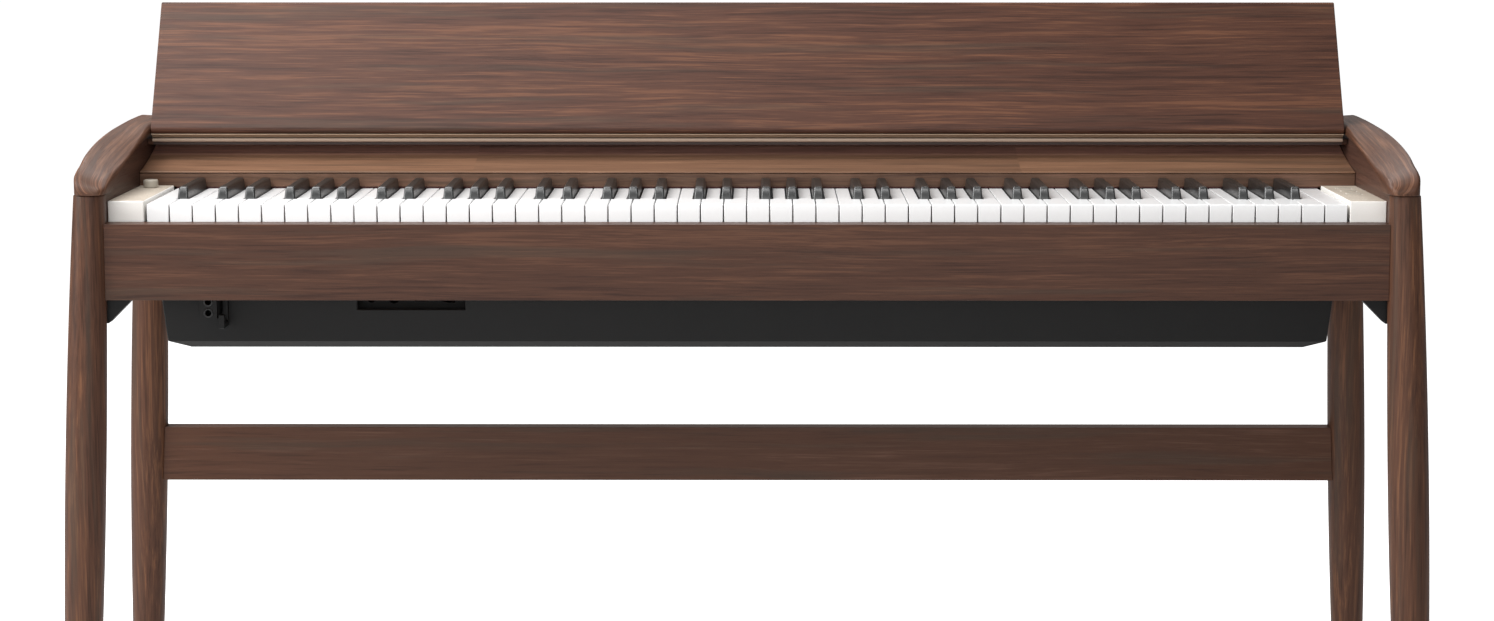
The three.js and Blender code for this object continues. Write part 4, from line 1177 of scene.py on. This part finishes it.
def make_speakers():
    """Each driver: a steel basket and magnet, a paper cone with its dust cap, and a rubber surround."""
    for side, _ in SIDES:
        node = f"speaker_{side}"
        low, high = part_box(node)
        radius, height = (high.x - low.x) / 2, high.z - low.z
        centre = standing_at(node)
        # Each profile is in millimetres: (radius, height) above the driver's lower face.
        rim, deep, magnet = radius / MM, height / MM, 32
        basket = [(0, 14), (12, 14), (rim - 8, 3), (rim - 6, 0), (rim, 0), (rim, 3), (rim - 5, 5)]
        basket += [(magnet, 22), (magnet, deep - 1), (magnet - 1, deep), (0, deep)]
        cone = [(0, 9.5), (4, 9.8), (9, 11.5), (12, 12), (rim - 14, 2.4), (rim - 13, 3.4)]
        cone += [(13, 13.4), (0, 13.4)]
        ring = [
            (rim - 10 + 3.6 * math.cos(a), 2.6 - 2.2 * math.sin(a))
            for a in (math.radians(20 * i) for i in range(10))
        ]
        for part, profile, finish in (("basket", basket, "black_steel"), ("cone", cone, "cone")):
            mesh = turned_mesh([(r * MM, z * MM) for r, z in profile], 72)
            mesh.transform(centre)
            stands_for = [node] if part == "basket" else None
            piece(f"{part}_{side}", eased(mesh, 0.4 * MM, 2), node, FINISH[finish], stands_for)
        mesh = turned_mesh([(r * MM, z * MM) for r, z in ring], 72, ring=True)
        mesh.transform(centre)
        piece(f"surround_{side}", shaded(mesh), node, FINISH["surround"])


def make_sockets():
    eased_piece("socket_panel", "connector_panel", FINISH["charcoal"], 0.4 * MM, 2)
    eased_piece("headphone_unit", "headphone_box", FINISH["charcoal"], 0.9 * MM, 3)
    eased_piece("headphone_bracket", "headphone_hook", FINISH["black_steel"], 1.2 * MM, 4)
    low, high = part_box("headphone_box")
    for name, drop in (("upper", 12.8), ("lower", 24.4)):
        section = [(3.35, 0.0), (4.9, 0.0), (4.9, 0.5), (4.5, 0.9), (3.35, 0.9)]
        mesh = turned_mesh([(r * MM, z * MM) for r, z in section], 40, ring=True)
        place = Matrix.Translation(((low.x + high.x) / 2, low.y, high.z - drop * MM))
        mesh.transform(place @ Matrix.Rotation(math.pi / 2, 4, "X"))
        piece(f"jack_bush_{name}", eased(mesh, 0.15 * MM, 2), "headphone_box", FINISH["bush"])


def make_main_board():
    eased_piece("circuit_board", "main_board", FINISH["board"], 0.3 * MM, 2)


# ------------------------------------------------------------------ lid


LID = {"lean": math.radians(29.5), "foot": 3, "tip": 160, "outer": -1.5, "inner": 15}


def make_lid():
    _, pin_y, pin_z = joint("lid_fold")["pos_m"]
    sine, cosine = math.sin(LID["lean"]), math.cos(LID["lean"])
    corners = [
        ((LID["foot"], LID["outer"]), 1.0),
        ((LID["tip"], LID["outer"]), 1.5),
        ((LID["tip"], LID["inner"]), 3.2),
        ((LID["foot"], LID["inner"]), 5.5),
    ]
    outline = [
        (pin_y + (sine * along - cosine * out) * MM, pin_z + (cosine * along + sine * out) * MM)
        for along, out in rounded(corners)
    ]
    low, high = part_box("lid_panel")
    mesh = eased(swept_across(outline, low.x, high.x), 1.2 * MM, 3, 40)
    piece("lid_board", mesh, "lid_panel", FINISH["lid"], ["lid_panel"])
    eased_piece("lid_front_flap", "lid_flap", FINISH["flap"], 1.8 * MM, 4)
    for side, _ in SIDES:
        eased_piece(f"stop_pin_{side}", f"lid_stop_{side}", FINISH["black_steel"], 0.8 * MM, 3)


def joint(name):
    return next(row for row in frame["joints"] if row["name"] == name)


KNUCKLE = 25 * MM  # length of a knuckle, about
LEAF_TRIM = 4.5 * MM  # how far the lid's leaf stays behind the lid's face
PAINTED_HIGHLIGHT_LIP = 3 * MM  # depth of the fixed leaf's front lip, which takes the knuckles' light colour as a painted highlight


def make_hinges():
    """The continuous hinge: a fixed leaf and a lid leaf with alternate knuckles on one pin."""
    _, pin_y, pin_z = joint("lid_fold")["pos_m"]
    low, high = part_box("lid_hinge")
    half = high.x
    count = int(2 * half / KNUCKLE)
    pitch = 2 * half / count
    radius = high.z - pin_z
    for turn, name, node in ((0, "fixed", "lid_hinge"), (1, "moving", "lid_hinge_leaf")):
        places = [(-half + pitch * (i + 0.5), pin_y, pin_z) for i in range(turn, count, 2)]
        values = {"Radius": radius - 0.02 * MM, "Length": pitch - 0.5 * MM, "Finish": FINISH["knuckle"]}
        mesh = grown(points_mesh(places), knuckle_tree, values)
        piece(f"{name}_knuckles", shaded(mesh), node, FINISH["knuckle"])
    # The fixed leaf's front lip takes the knuckles' light colour: a painted highlight along its edge.
    finishes = [FINISH["leaf"], FINISH["knuckle"]]
    leaf = eased(copy_of("lid_hinge"), 0.3 * MM, 2)
    fixed = piece("fixed_hinge_leaf", leaf, "lid_hinge", finishes, ["lid_hinge"])
    for face in fixed.data.polygons:
        face.material_index = 1 if face.center.y < low.y + PAINTED_HIGHLIGHT_LIP else 0
    plate = copy_of("lid_hinge_leaf")
    for vertex in plate.vertices:
        out = math.sin(LID["lean"]) * (vertex.co.z - pin_z) - math.cos(LID["lean"]) * (vertex.co.y - pin_y)
        if out > LID["inner"] * MM / 2:
            vertex.co.y += math.cos(LID["lean"]) * LEAF_TRIM
            vertex.co.z -= math.sin(LID["lean"]) * LEAF_TRIM
    plate = eased(plate, 0.3 * MM, 2)
    piece("lid_hinge_plate", plate, "lid_hinge_leaf", FINISH["bronze"], ["lid_hinge_leaf"])
    eased_piece("flap_hinge_pin", "flap_hinge", FINISH["bronze"], 0.3 * MM, 2)


# ------------------------------------------------------------------ stage


FLOOR_LIFT = 0.86


def make_stage():
    """A plain pale floor that the camera sees a little brighter than the lamps light it."""
    shape = bmesh.new()
    bmesh.ops.create_grid(shape, x_segments=1, y_segments=1, size=30.0)
    floor = mesh_from(shape)
    settings = {"Roughness": 0.9, "Base Color": (0.8, 0.8, 0.8, 1), "Specular IOR Level": 0.0}
    material, wiring, shader = new_material("pale_floor", {**settings, "Emission Color": (1, 1, 1, 1)})
    seen = wiring.node("ShaderNodeLightPath").outputs["Is Camera Ray"]
    wiring.link(wiring.times(seen, FLOOR_LIFT), shader.inputs["Emission Strength"])
    floor.materials.append(material)
    slab = bpy.data.objects.new("floor", floor)
    slab.location.z = -0.2 * MM
    scene.collection.objects.link(slab)


def softbox(name, place, aim, size, power):
    """A rectangular area light at a place, turned to an aim point."""
    lamp = bpy.data.lights.new(name, "AREA")
    lamp.shape = "RECTANGLE"
    lamp.size, lamp.size_y = size
    lamp.energy = power
    made = bpy.data.objects.new(name, lamp)
    made.location = place
    made.rotation_euler = (Vector(aim) - Vector(place)).to_track_quat("-Z", "Y").to_euler()
    scene.collection.objects.link(made)


def make_light():
    world = bpy.data.worlds.new("studio")
    scene.world = world
    world.use_nodes = True
    sky = world.node_tree.nodes["Background"].inputs
    sky["Color"].default_value = (1.0, 1.0, 1.0, 1.0)
    sky["Strength"].default_value = 0.24
    softbox("key_left", (-1.65, -0.75, 2.6), (-0.55, 0.05, 0.8), (1.2, 1.1), 44)
    softbox("overhead", (-0.7, -0.3, 2.9), (-0.3, -0.05, 0.75), (1.8, 0.8), 30)
    softbox("side_left", (-2.9, -1.0, 1.5), (-0.3, 0, 0.6), (1.6, 1.6), 58)
    softbox("front_strip", (0, -2.05, 2.35), (0, -0.05, 0.72), (2.9, 0.32), 22)
    softbox("front_low", (-0.3, -3.2, 0.95), (0, 0, 0.75), (3.2, 1.0), 20)
    softbox("back_rim", (0, 1.7, 2.5), (0, 0.1, 0.85), (3.0, 0.8), 32)
    scene.view_settings.view_transform = "Standard"


def make_camera():
    lens = bpy.data.cameras.new("camera")
    lens.sensor_width = 36.0
    lens.lens = 65.78
    camera = bpy.data.objects.new("camera", lens)
    camera.location = (0.0083, key_front - 2.758, key_top + 0.317)
    camera.rotation_euler = (math.radians(90 - 8.78), 0, math.radians(0.166))
    scene.collection.objects.link(camera)
    scene.camera = camera


make_camera()
make_light()
make_stage()
make_legs()
make_glides()
make_stretcher()
make_brackets()
make_case_boards()
make_slope()
make_keys()
make_key_action()
make_end_blocks()
make_knob()
make_buttons()
make_tray()
make_speakers()
make_sockets()
make_main_board()
make_lid()
make_hinges()
